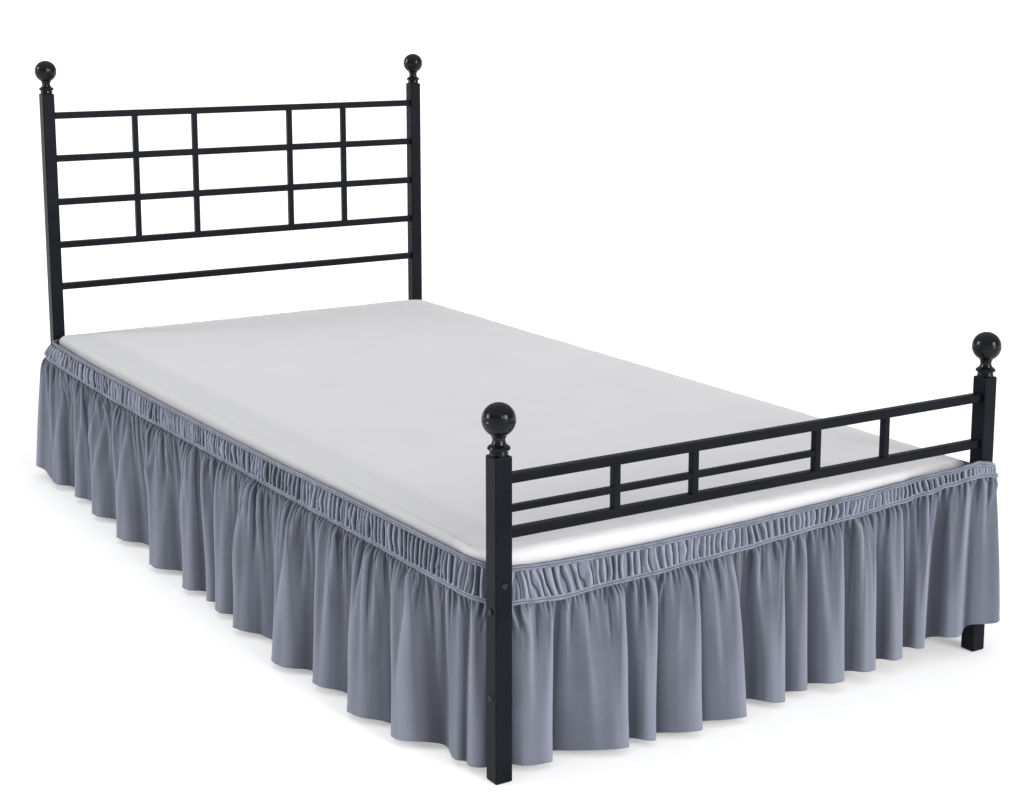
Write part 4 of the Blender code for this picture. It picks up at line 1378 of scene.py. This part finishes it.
@dataclass
class Heading:
    """The puckered band between the two tapes, tucked a little behind each."""

    line: BandLine
    columns: int = 5600
    rows: int = 12
    seed: int = 17
    cut: tuple = (8.40, 0.0425)
    tuck: float = 0.0012
    clear: float = 0.0006
    # Width and strength of the painted shade lines in the puckers' valleys, with more on the
    # left side.
    slit_wide: float = 0.085
    painted_slit_shade: float = 0.30
    painted_slit_shade_left: float = 0.27

    def phases(self, walks: np.ndarray) -> np.ndarray:
        """Count the puckers passed, a whole number of them all the way round.

        Args:
            walks: Distances walked.

        Returns:
            The count at each.
        """
        rng = np.random.default_rng(self.seed)
        pitch = self.line.eased(PUCKERS, "pitch", walks)
        pitch = pitch * (1 + 0.30 * soft_noise(rng, walks, 0.021)
                         + 0.16 * soft_noise(rng, walks, 0.13))
        count = np.concatenate([[0.0], np.cumsum(np.diff(walks) / pitch[1:])])
        return count * round(count[-1]) / count[-1]

    def _lines(self, walks: np.ndarray, down: np.ndarray, rng: np.random.Generator) -> tuple:
        """Lines of the puckers over the band, slanting unevenly.

        Args:
            walks: Distances walked.
            down: Part of the way down of each row.
            rng: Seeded numbers.

        Returns:
            The puckers' phase, rows by columns, and where in its phase each peaks.
        """
        slant = 0.45 * soft_noise(rng, walks, 0.034) + 0.55 * soft_noise(rng, walks, 0.16)
        slant += -1.5 * np.exp(-((walks - 0.06) / 0.07) ** 2)
        wander = 0.30 * soft_noise(rng, walks, 0.012)
        phase = self.phases(walks) + slant * (down - 0.5) + wander * np.sin(down * math.pi)
        return phase, 0.5 + 0.22 * np.tanh(2.2 * soft_noise(rng, walks, 0.045))

    def build(self, material: bpy.types.Material) -> None:
        """Args:
            material: The cloth.
        """
        rng = np.random.default_rng(self.seed + 1)
        walks = np.linspace(0.0, self.line.round, self.columns, endpoint=False)
        down = np.linspace(0.0, 1.0, self.rows)[:, None]
        phase, skew = self._lines(walks, down, rng)
        turn = np.mod(phase, 1.0)
        sharp = 1.15 + 0.35 * soft_noise(rng, walks, 0.014)
        ridge = np.minimum(turn / skew, (1 - turn) / (1 - skew)) ** np.clip(sharp, 0.7, 1.8)
        second = np.abs(np.sin(math.pi * (phase * 0.5 + 0.2 * soft_noise(rng, walks, 0.05))))
        size = 1 + 0.30 * soft_noise(rng, walks, 0.017)
        belly = np.sin(down * math.pi)
        pinch = 0.62 + 0.38 * belly ** 0.6
        finer = phase * 2.0 + 0.8 * soft_noise(rng, walks, 0.026)
        finer = np.abs(np.sin(math.pi * finer / 2 * 1.9)) ** 0.8 - 0.6
        finer = finer * (0.55 - 0.30 * belly + 0.25 * soft_noise(rng, walks, 0.031))
        blotch = 1 + 0.25 * soft_noise(rng, walks, 0.009) * np.cos(
            down * 7.0 + 3 * soft_noise(rng, walks, 0.03))
        high = self.line.eased(PUCKERS, "depth", walks)
        off = high * size * pinch * blotch * (
            1.25 * ridge - 0.62 + 0.25 * (second - 0.6) + finer)
        top, low, lean = self.line.levels(walks)
        upper = top - TOP_TAPE_HIGH + self.tuck
        lower = low + LOW_TAPE_HIGH / 2 - self.tuck
        height = upper + (lower - upper) * down
        stood = lean * ((top - height) / (top - low)) + off + self.clear
        points = self.line.set_out(np.broadcast_to(walks, stood.shape), stood, height)
        # The fold mark less the painted shade lines: highlight and shade painted on the heading.
        mark = fold_marks(off, walks, ((0.0048, 0.0024),)) - self._painted_slits(walks, phase, skew)
        made = grid_object("puckered_heading", points, material, closed=True,
                           marks={"fold": np.clip(mark, 0.0, 1.0)}, uvs=cloth_uvs(points))
        declare(made, "heading")

    def _painted_slits(self, walks: np.ndarray, phase: np.ndarray, skew: np.ndarray) -> np.ndarray:
        """Painted shade lines in the valleys, or down the puckers' near flank on the left side.

        Args:
            walks: Distances walked.
            phase: The puckers' phase, rows by columns.
            skew: Where in its phase each peaks.

        Returns:
            How much painted shade each point gets.
        """
        on_left = ease((walks - self.line.walk(Stretch.LEFT, 1.95)) / 0.05)
        slit = np.mod(phase + on_left * (0.63 - 0.67 * skew), 1.0)
        slit = np.minimum(slit, 1 - slit) / self.slit_wide
        return (self.painted_slit_shade + self.painted_slit_shade_left * on_left) * np.exp(-slit ** 2)


@dataclass
class Tape:
    """A narrow stitched tape that runs round the whole band as a closed ring.

    groove is the height of its row of stitches above its middle, and face is how far
    its front stands off the band's line.
    """

    name: str
    node: str
    line: BandLine
    at_top: bool
    high: float
    groove: float
    thick: float = 0.0016
    face: float = 0.0012
    groove_deep: float = 0.00042
    groove_half: float = 0.0013
    groove_floor: float = 0.0006
    # How much shade is painted on the top tape's upper edge, then on every other edge.
    painted_top_edge_shade: float = 0.85
    painted_edge_shade: float = 0.40
    columns: int = 980
    wave: float = 0.00035
    seed: int = 3

    def place(self, walks: np.ndarray, rise: np.ndarray, off: np.ndarray) -> np.ndarray:
        """Points on or off the tape.

        Args:
            walks: Distances walked.
            rise: Heights above the tape's middle.
            off: Distances out of the band it is sewn to.

        Returns:
            The points, with a last axis of 3.
        """
        top, low, lean = self.line.levels(walks)
        if self.at_top:
            lean = lean * (self.high / 2) / (top - low)
            low = top - self.high / 2
        return self.line.set_out(walks, lean + off, low + rise)

    def _section(self) -> tuple:
        """The tape's section, from its top edge round the front.

        Returns:
            Rows of rise above the middle, stand-off and painted shade.
        """
        half, deep, spot = self.high / 2, self.thick, self.groove
        above = self.painted_top_edge_shade if self.at_top else self.painted_edge_shade
        edge = ((half * 0.94, -deep), (half, -deep * 0.55), (half * 0.96, -deep * 0.12))
        rows = [(rise, off, above) for rise, off in edge]
        rows += [(spot + self.groove_half, 0.0, 0.0),
                 (spot + self.groove_floor, -self.groove_deep, 1.0),
                 (spot - self.groove_floor, -self.groove_deep, 1.0),
                 (spot - self.groove_half, 0.0, 0.0)]
        return tuple(rows + [(-rise, off, self.painted_edge_shade) for rise, off in edge[::-1]])

    def build(self, material: bpy.types.Material) -> bpy.types.Object:
        """Make the ring with rounded edges and a groove under its row of stitches.

        Args:
            material: The tape.

        Returns:
            The tape's object.
        """
        rng = np.random.default_rng(self.seed)
        walks = np.linspace(0.0, self.line.round, self.columns, endpoint=False)
        ripple = self.wave * soft_noise(rng, walks, 0.0075) + self.wave * soft_noise(
            rng, walks, 0.03)
        points = np.array([self.place(walks, rise + ripple * 0.3,
                                      self.face + off + ripple * (off > -self.thick * 0.5))
                           for rise, off, _ in self._section()])
        # Each section row's painted shade, which the tape's finish reads as its groove mark.
        groove = np.array([[dark] * len(walks) for _, _, dark in self._section()])
        made = grid_object(self.name, points, material, closed=True, tube=True,
                           marks={"groove": groove}, uvs=cloth_uvs(points))
        declare(made, self.node)
        return made


@dataclass
class StitchRow:
    """A row of stitches laid in a tape's groove by Geometry Nodes."""

    name: str
    tape: Tape
    pitch: float = 0.0036
    length: float = 0.0020
    thick: float = 0.0008
    out: float = 0.0013
    steps: int = 1400
    jitter: float = 0.15
    seed: int = 4

    def _path(self) -> bpy.types.Object:
        """Lay a closed polyline along the groove.

        Returns:
            Its object.
        """
        walks = np.linspace(0.0, self.tape.line.round, self.steps, endpoint=False)
        row = self.tape.place(walks, np.full(self.steps, self.tape.groove),
                              np.full(self.steps, self.out))
        mesh = bpy.data.meshes.new(self.name + "_path")
        mesh.from_pydata([tuple(point) for point in row],
                         [(at, (at + 1) % self.steps) for at in range(self.steps)], [])
        return stand(self.name, mesh)

    def _tree(self, thread: bpy.types.Material, sizes: dict) -> bpy.types.NodeTree:
        """Write the node group that lays a small faceted stitch at each pitch.

        Args:
            thread: The thread's material.
            sizes: The group's number inputs by name: pitch, half length, half thickness.

        Returns:
            The node group.
        """
        tree = bpy.data.node_groups.new(self.name, "GeometryNodeTree")
        face = tree.interface
        face.new_socket("Geometry", in_out="INPUT", socket_type="NodeSocketGeometry")
        for label in sizes:
            face.new_socket(label, in_out="INPUT", socket_type="NodeSocketFloat")
        face.new_socket("Geometry", in_out="OUTPUT", socket_type="NodeSocketGeometry")
        bench = Bench(tree)
        given = bench.node("NodeGroupInput", {}, {})
        path, pitch, length, wide = [Term(bench, given.outputs[label])
                                     for label in ("Geometry", *sizes)]
        curve = bench.out("GeometryNodeMeshToCurve", {}, {0: path})
        evenly = bench.node("GeometryNodeCurveToPoints", {"mode": "LENGTH"},
                            {"Curve": curve, "Length": pitch})
        spots, turns = [Term(bench, evenly.outputs[label]) for label in ("Points", "Rotation")]
        stitch = bench.out("GeometryNodeMeshIcoSphere", {}, {"Subdivisions": 1}, "Mesh")
        shape = bench.out("ShaderNodeCombineXYZ", {}, {"X": wide, "Y": wide, "Z": length})
        uneven = bench.out("FunctionNodeRandomValue", {"data_type": "FLOAT"},
                           {2: 1 - self.jitter, 3: 1 + self.jitter, "Seed": self.seed}, 1)
        shape = bench.out("ShaderNodeVectorMath", {"operation": "SCALE"},
                          {0: shape, "Scale": uneven})
        laid = bench.out("GeometryNodeInstanceOnPoints", {}, {
            "Points": spots, "Instance": stitch, "Rotation": turns, "Scale": shape}, "Instances")
        real = bench.out("GeometryNodeRealizeInstances", {}, {0: laid})
        dressed = bench.out("GeometryNodeSetMaterial", {}, {"Geometry": real,
                                                            "Material": thread})
        bench.node("NodeGroupOutput", {}, {"Geometry": dressed})
        return tree

    def build(self, thread: bpy.types.Material) -> bpy.types.Object:
        """Make the stitches as one plain mesh.

        Args:
            thread: The thread's material.

        Returns:
            The stitches' object.
        """
        made = self._path()
        sizes = {"Pitch": self.pitch, "Stitch Length": self.length / 2, "Thread": self.thick / 2}
        step = made.modifiers.new("stitches", "NODES")
        step.node_group = self._tree(thread, sizes)
        for item in step.node_group.interface.items_tree:
            if item.in_out == "INPUT" and item.name in sizes:
                step[item.identifier] = sizes[item.name]
        depsgraph = bpy.context.evaluated_depsgraph_get()
        mesh = bpy.data.meshes.new_from_object(made.evaluated_get(depsgraph))
        made.modifiers.clear()
        made.data = mesh
        mesh.shade_smooth()
        declare(made)
        return made


@dataclass
class Skirt:
    """The whole skirt: two tapes, the puckered heading and three panels of drop."""

    line: BandLine = field(default_factory=BandLine)
    cloth: Finish = BrushedCloth()
    # The heading's crest colour is painted highlight on its puckers' crests, and its hollows
    # take painted shade.
    heading_cloth: Finish = BrushedCloth(
        label="slate_microfibre_heading", shade=(0.140, 0.151, 0.192),
        light=(0.198, 0.213, 0.268), crest=(0.460, 0.490, 0.590), painted_crest_highlight_share=0.56,
        painted_fold_shade_share=0.88, sheen=0.46)
    tape_cloth: Finish = TapeCloth()
    thread: Finish = Thread()
    end_off: float = 0.003

    def _fold_marks(self, side: Stretch) -> list:
        """The hem's marks along one side.

        Args:
            side: The side, whose folds are read from the table.

        Returns:
            Marks in the order in which they are walked past.
        """
        made = []
        way = -1 if side in (Stretch.LEFT, Stretch.HEAD) else 1
        gentle = 1 if side is Stretch.LEFT else -1
        for fold in FOLDS[side]:
            crest = self.line.walk(side, fold.crest)
            off = self.line.off(side, fold.crest, fold.crest_out)
            made += sorted([
                Mark(crest, off, Kind.CREST, (fold.start - fold.crest) * way),
                Mark(crest + gentle * fold.full, off - fold.loss, Kind.FULL, None),
                Mark(self.line.walk(side, fold.dip),
                     self.line.off(side, fold.dip, fold.dip_out), Kind.DIP, None)])
        return made

    def _flat_marks(self, stretch: Stretch, rows: tuple, crests: tuple = ()) -> list:
        """Marks round one corner or at a panel's end, with no lean.

        Args:
            stretch: The corner or side.
            rows: A place along it and a stand-off for each mark.
            crests: Which rows are crests.

        Returns:
            The marks.
        """
        return [Mark(self.line.walk(stretch, along), off,
                     Kind.CREST if at in crests else Kind.DIP, 0.0)
                for at, (along, off) in enumerate(rows)]

    def _side_ridges(self, side: Stretch, share: float) -> list:
        """Ridges of one side by distance walked.

        Args:
            side: The side, whose ridges are read from the table.
            share: How much of their slant they keep.

        Returns:
            The ridges.
        """
        return [row._replace(start=self.line.walk(side, row.end + (row.start - row.end) * share),
                             end=self.line.walk(side, row.end)) for row in RIDGES[side]]

    @staticmethod
    def _loose_ridges(start: float, end: float, seed: int) -> list:
        """Seeded ridges for a run that has no rows of its own.

        Args:
            start: Distance walked where the run starts.
            end: Distance walked where it ends.
            seed: Seed of their places and sizes.

        Returns:
            The ridges.
        """
        rng = np.random.default_rng(seed)
        made, at = [], start + 0.02
        while at < end - 0.02:
            made.append(Ridge(at, at + rng.uniform(-0.008, 0.008), rng.uniform(0.0020, 0.0045),
                              rng.uniform(0.008, 0.014), rng.uniform(0.45, 0.95)))
            at += rng.uniform(0.028, 0.055)
        return made

    def panels(self) -> list:
        """Set out the three panels of the drop.

        Returns:
            The left, the head, and the foot and right panel.
        """
        line = self.line
        left = self._flat_marks(Stretch.TURN_C, CORNER_C_TURN)
        left += self._fold_marks(Stretch.LEFT)
        left += self._flat_marks(Stretch.TURN_A, CORNER_A_LEFT, (1,))
        first, last = [self._flat_marks(Stretch.HEAD, tuple((x, self.end_off) for x in ends))
                       for ends in HEAD_PANEL_ENDS]
        head = first + self._fold_marks(Stretch.HEAD) + last
        front = [mark._replace(walk=mark.walk - line.round)
                 for mark in self._flat_marks(Stretch.TURN_A, CORNER_A_FOOT)]
        front += self._fold_marks(Stretch.FOOT)
        front += self._flat_marks(Stretch.TURN_B, CORNER_B_TURN)
        front += self._fold_marks(Stretch.RIGHT)
        front += self._flat_marks(Stretch.TURN_D, CORNER_D_TURN)
        left_ridges = self._side_ridges(Stretch.LEFT, DropPanel.lean_share)
        left_ridges += self._loose_ridges(line.walk(Stretch.LEFT, 1.88),
                                          line.walk(Stretch.LEFT, 1.45), 31)
        front_ridges = self._side_ridges(Stretch.FOOT, 1.0)
        front_ridges += self._loose_ridges(line.walk(Stretch.RIGHT, 0.03),
                                           line.walk(Stretch.RIGHT, 1.90), 37)
        head_ridges = self._loose_ridges(head[0].walk, head[-1].walk, 41)
        return [
            DropPanel("gathered_drop_left", "drop_left", line, left, left_ridges,
                      (2.40, 0.262), 11, way=-1, crease_shade=0.8, step=0.00128, dip_mark=0.025),
            DropPanel("gathered_drop_head", "drop_head", line, head, head_ridges,
                      (1.18, 0.255), 12, step=0.00165),
            DropPanel("gathered_drop_foot_right", "drop_foot_right", line, front, front_ridges,
                      (3.72, 0.258), 13, step=0.00118, thin=0.55, valley=0.0045,
                      dip_mark=0.046)]

    def build(self) -> None:
        """Make, dress and declare every piece of the skirt."""
        for panel in self.panels():
            panel.build(self.cloth.material())
        Heading(self.line).build(self.heading_cloth.material())
        top = Tape("edge_tape", "top_tape", self.line, True, TOP_TAPE_HIGH, -0.0006)
        low = Tape("gathering_tape", "lower_tape", self.line, False, LOW_TAPE_HIGH, 0.0)
        for tape, label in ((top, "edge_stitches"), (low, "gathering_stitches")):
            made = tape.build(self.tape_cloth.material())
            stitches = StitchRow(label, tape).build(self.thread.material())


# ------------------------------------------------------------------ mattress
@dataclass
class Mattress:
    """A thin mattress with rolled edges and a slightly crowned top.

    crown_reach and top_shares are parts of the way from the rolled edge to the middle.
    """

    left: float = -0.0115
    right: float = 0.9585
    foot: float = 0.0270
    head: float = 1.9430
    low: float = 0.2126
    top: float = 0.3300
    crown: float = 0.0080
    crown_reach: float = 0.30
    roll: float = 0.0140
    corners: tuple = (0.052, 0.015, 0.045, 0.024)
    least_corner: float = 0.012
    unevenness: float = 0.0011
    edge_dip: float = 0.0016
    around: int = 1000
    rim: float = 5.8
    seed: int = 9
    roll_turns: tuple = (18.0, 36.0, 54.0, 72.0, 90.0)
    top_shares: tuple = (0.007, 0.015, 0.024, 0.034, 0.046, 0.060, 0.078, 0.10, 0.13, 0.17,
                         0.22, 0.30, 0.40, 0.52, 0.66, 0.80, 0.92, 0.985)

    def outline(self, inset: float) -> np.ndarray:
        """Rounded outline of the mattress, evenly stepped.

        Args:
            inset: How far it is drawn in.

        Returns:
            Plan points, anticlockwise.
        """
        low_x, high_x = self.left + inset, self.right - inset
        low_y, high_y = self.foot + inset, self.head - inset
        foot_left, foot_right, head_right, head_left = [
            max(radius - inset, self.least_corner) for radius in self.corners]
        spots = ((high_x - foot_right, low_y + foot_right, foot_right, -90),
                 (high_x - head_right, high_y - head_right, head_right, 0),
                 (low_x + head_left, high_y - head_left, head_left, 90),
                 (low_x + foot_left, low_y + foot_left, foot_left, 180))
        line = []
        for x, y, radius, start in spots:
            for turn in np.linspace(0, 90, 19):
                angle = math.radians(start + turn)
                line.append((x + radius * math.cos(angle), y + radius * math.sin(angle)))
        plan = np.array(line + line[:1])
        walked = np.concatenate([[0], np.cumsum(np.linalg.norm(np.diff(plan, axis=0), axis=1))])
        even = np.linspace(0, walked[-1], self.around, endpoint=False)
        return np.stack([np.interp(even, walked, column) for column in plan.T], axis=-1)

    def _rings(self) -> list:
        """Set out the rings, from the underside over the rolled edge to the middle.

        Returns:
            Outline, height and share of unevenness of each ring.
        """
        shoulder = self.top - self.roll
        side = ((0.010, self.low, 0.0), (0.003, self.low + 0.004, 0.0),
                (0.0, self.low + 0.012, 0.0), (0.0, self.low + 0.060, 0.2),
                (0.0, shoulder - 0.010, 0.3), (0.0, shoulder, 0.4))
        rings = [(self.outline(inset), height, share) for inset, height, share in side]
        for turn in self.roll_turns:
            bend = math.radians(turn)
            rings.append((self.outline(self.roll * (1 - math.cos(bend))),
                          shoulder + self.roll * math.sin(bend), 0.4 + 0.6 * math.sin(bend)))
        base = self.outline(self.roll)
        centre = np.array([(self.left + self.right) / 2, (self.foot + self.head) / 2])
        for share in self.top_shares:
            inner = min(share / self.crown_reach, 1.0)
            rings.append((centre + (base - centre) * (1 - share),
                          self.top + self.crown * (1 - (1 - inner) ** 2.2),
                          math.exp(-share / 0.035)))
        return rings

    def _painted_wall_light(self, ring: np.ndarray, height: float) -> np.ndarray:
        """Mark where one ring's walls get painted light or painted shade.

        Args:
            ring: Its plan points.
            height: Its height.

        Returns:
            Above 0.5 where light is painted, on the foot wall and the left wall below the roll;
            below it where shade is painted, on the left roll and a strip of the top along the
            left edge.
        """
        low = float(ease(np.array((self.top + 0.002 - height) / 0.012)))
        deep = float(ease(np.array((self.top - self.roll + 0.0005 - height) / 0.004)))
        front = ease((self.foot + 0.10 - ring[:, 1]) / 0.06)
        left = ease((self.left + 0.090 - ring[:, 0]) / 0.030) * (1 - front)
        return 0.5 + 0.5 * low * front + 0.5 * left * (
            deep - (1 - deep) * (0.62 + 0.38 * low))

    def build(self, material: bpy.types.Material) -> None:
        """Args:
            material: The ticking.
        """
        rng = np.random.default_rng(self.seed)
        even = np.linspace(0, self.rim, self.around, endpoint=False)
        pucker = 0.6 * soft_noise(rng, even, 0.019) + 0.4 * soft_noise(rng, even, 0.055)
        pucker *= ease(even / 0.05) * ease((self.rim - even) / 0.05)
        points, marks, painted_wall_lights = [], [], []
        for at, (ring, height, share) in enumerate(self._rings()):
            wave = pucker * math.cos(at * 1.9) + soft_noise(
                np.random.default_rng(self.seed + at), even, 0.03) * 0.5
            lift = self.unevenness * share * wave * ease(even / 0.04) * ease(
                (self.rim - even) / 0.04)
            near = self.edge_dip * share if height > self.top - 1e-6 else 0.0
            points.append(np.stack([ring[:, 0] - CENTRE[0], ring[:, 1] - CENTRE[1],
                                    height + lift - near], axis=-1))
            marks.append(np.full(self.around, share))
            # Where each ring's walls get painted light or painted shade.
            painted_wall_lights.append(self._painted_wall_light(ring, height))
        made = grid_object("mattress_body", np.array(points)[::-1], material, closed=True,
                           marks={"edge": np.array(marks)[::-1], "painted_wall_light": np.array(painted_wall_lights)[::-1]})
        self._close(made)
        declare(made, "mattress")

    @staticmethod
    def _close(made: bpy.types.Object) -> None:
        """Fill the small hole in the middle of the top and the whole underside.

        Args:
            made: The mattress, open in both places.
        """
        shape = bmesh.new()
        shape.from_mesh(made.data)
        rims = [edge for edge in shape.edges if edge.is_boundary]
        bmesh.ops.holes_fill(shape, edges=rims, sides=0)
        big = [face for face in shape.faces if len(face.verts) > 4]
        bmesh.ops.triangulate(shape, faces=big)
        bmesh.ops.recalc_face_normals(shape, faces=shape.faces)
        shape.to_mesh(made.data)
        shape.free()


# ----------------------------------------------------------------- bed frame
@dataclass
class BedFrame:
    """Posts, rails, finials, bolts and slats, whose shapes are the CAD's own."""

    coat: Finish = PowderCoat()
    gloss: Finish = BallGloss()
    bolt: Finish = BoltBlack()
    wood: Finish = SlatWood()

    def dress(self) -> None:
        """Give every CAD node that stays its finish."""
        finishes = {"finial": self.gloss, "bolt": self.bolt, "slat": self.wood}
        finishes.update(dict.fromkeys(
            ("post", "head_", "foot_", "side_", "end_", "bracket"), self.coat))
        for name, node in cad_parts.items():
            for start, finish in finishes.items():
                if name.startswith(start):
                    for slot in node.material_slots:
                        slot.material = finish.material()
                    LOG.info("%s: %s", name, finish.label)


# -------------------------------------------------------------------- studio
@dataclass
class Studio:
    """Camera, light and floor."""

    eye: tuple = (-1.6981, -2.9643, 1.1046)
    turn: float = 32.205
    tilt: float = 9.877
    lens: float = 60.886
    shift: float = -0.0996
    floor_half: float = 2500.0

    def camera(self) -> None:
        """Stand the camera at the foot left corner of the bed."""
        data = bpy.data.cameras.new("view")
        data.sensor_fit = "HORIZONTAL"
        data.sensor_width = 36.0
        data.lens = self.lens
        data.shift_y = self.shift
        data.clip_end = 6000.0
        turn, tilt = math.radians(self.turn), math.radians(self.tilt)
        ahead = Vector((math.sin(turn) * math.cos(tilt), math.cos(turn) * math.cos(tilt),
                        -math.sin(tilt)))
        right = Vector((math.cos(turn), -math.sin(turn), 0.0))
        made = stand("view", data)
        made.matrix_world = Matrix.Translation(self.eye) @ Matrix(
            (right, right.cross(ahead), -ahead)).transposed().to_4x4()
        bpy.context.scene.camera = made

    def light(self) -> None:
        """A soft room, bright overhead and at the horizon, and two broad suns."""
        scene = bpy.context.scene
        scene.view_settings.view_transform = "Standard"
        room = bpy.data.worlds.new("room")
        room.use_nodes = True
        room.node_tree.nodes.clear()
        bench = Bench(room.node_tree)
        where = bench.out("ShaderNodeTexCoord", {}, {}, "Generated")
        height = bench.out("ShaderNodeVectorMath", {"operation": "DOT_PRODUCT"},
                           {0: where, 1: (0.0, 0.0, 1.0)}, "Value")
        share = height.eased(-0.1, 1.0)
        haze = 1.0 - height.eased(0.07, 0.20)
        back = bench.out("ShaderNodeBackground", {}, {
            "Color": (0.985, 0.99, 1.0, 1.0), "Strength": 0.10 + share * 0.74 + haze * 0.88})
        bench.node("ShaderNodeOutputWorld", {}, {0: back})
        scene.world = room
        self._sun("rim_left", (-0.82, 0.42, 0.34), 1.58, 24.0)
        self._sun("front", (0.24, -0.90, 0.32), 2.55, 30.0)

    @staticmethod
    def _sun(name: str, toward: tuple, strength: float, wide: float) -> None:
        """Hang a distant soft light.

        Args:
            name: Its name.
            toward: Direction from the bed towards it.
            strength: Its strength.
            wide: Its angle across, in degrees.
        """
        data = bpy.data.lights.new(name, "SUN")
        data.energy = strength
        data.angle = math.radians(wide)
        stand(name, data).rotation_euler = Vector(toward).to_track_quat("Z", "Y").to_euler()

    def floor(self) -> None:
        """A plain pale floor that runs to the horizon."""
        half = self.floor_half
        mesh = bpy.data.meshes.new("studio_floor")
        mesh.from_pydata([(-half, -half, 0), (half, -half, 0), (half, half, 0),
                          (-half, half, 0)], [], [(0, 1, 2, 3)])
        mesh.materials.append(PaleFloor().material())
        stand("studio_floor", mesh)


def main() -> None:
    """Light the room, then build the skirt and the mattress and dress the frame."""
    logging.basicConfig(level=logging.INFO, format="%(message)s")
    studio = Studio()
    studio.camera()
    studio.light()
    studio.floor()
    LOG.info("studio ready")
    Skirt().build()
    Mattress().build(MattressCloth().material())
    BedFrame().dress()


if __name__ == "__main__":
    main()
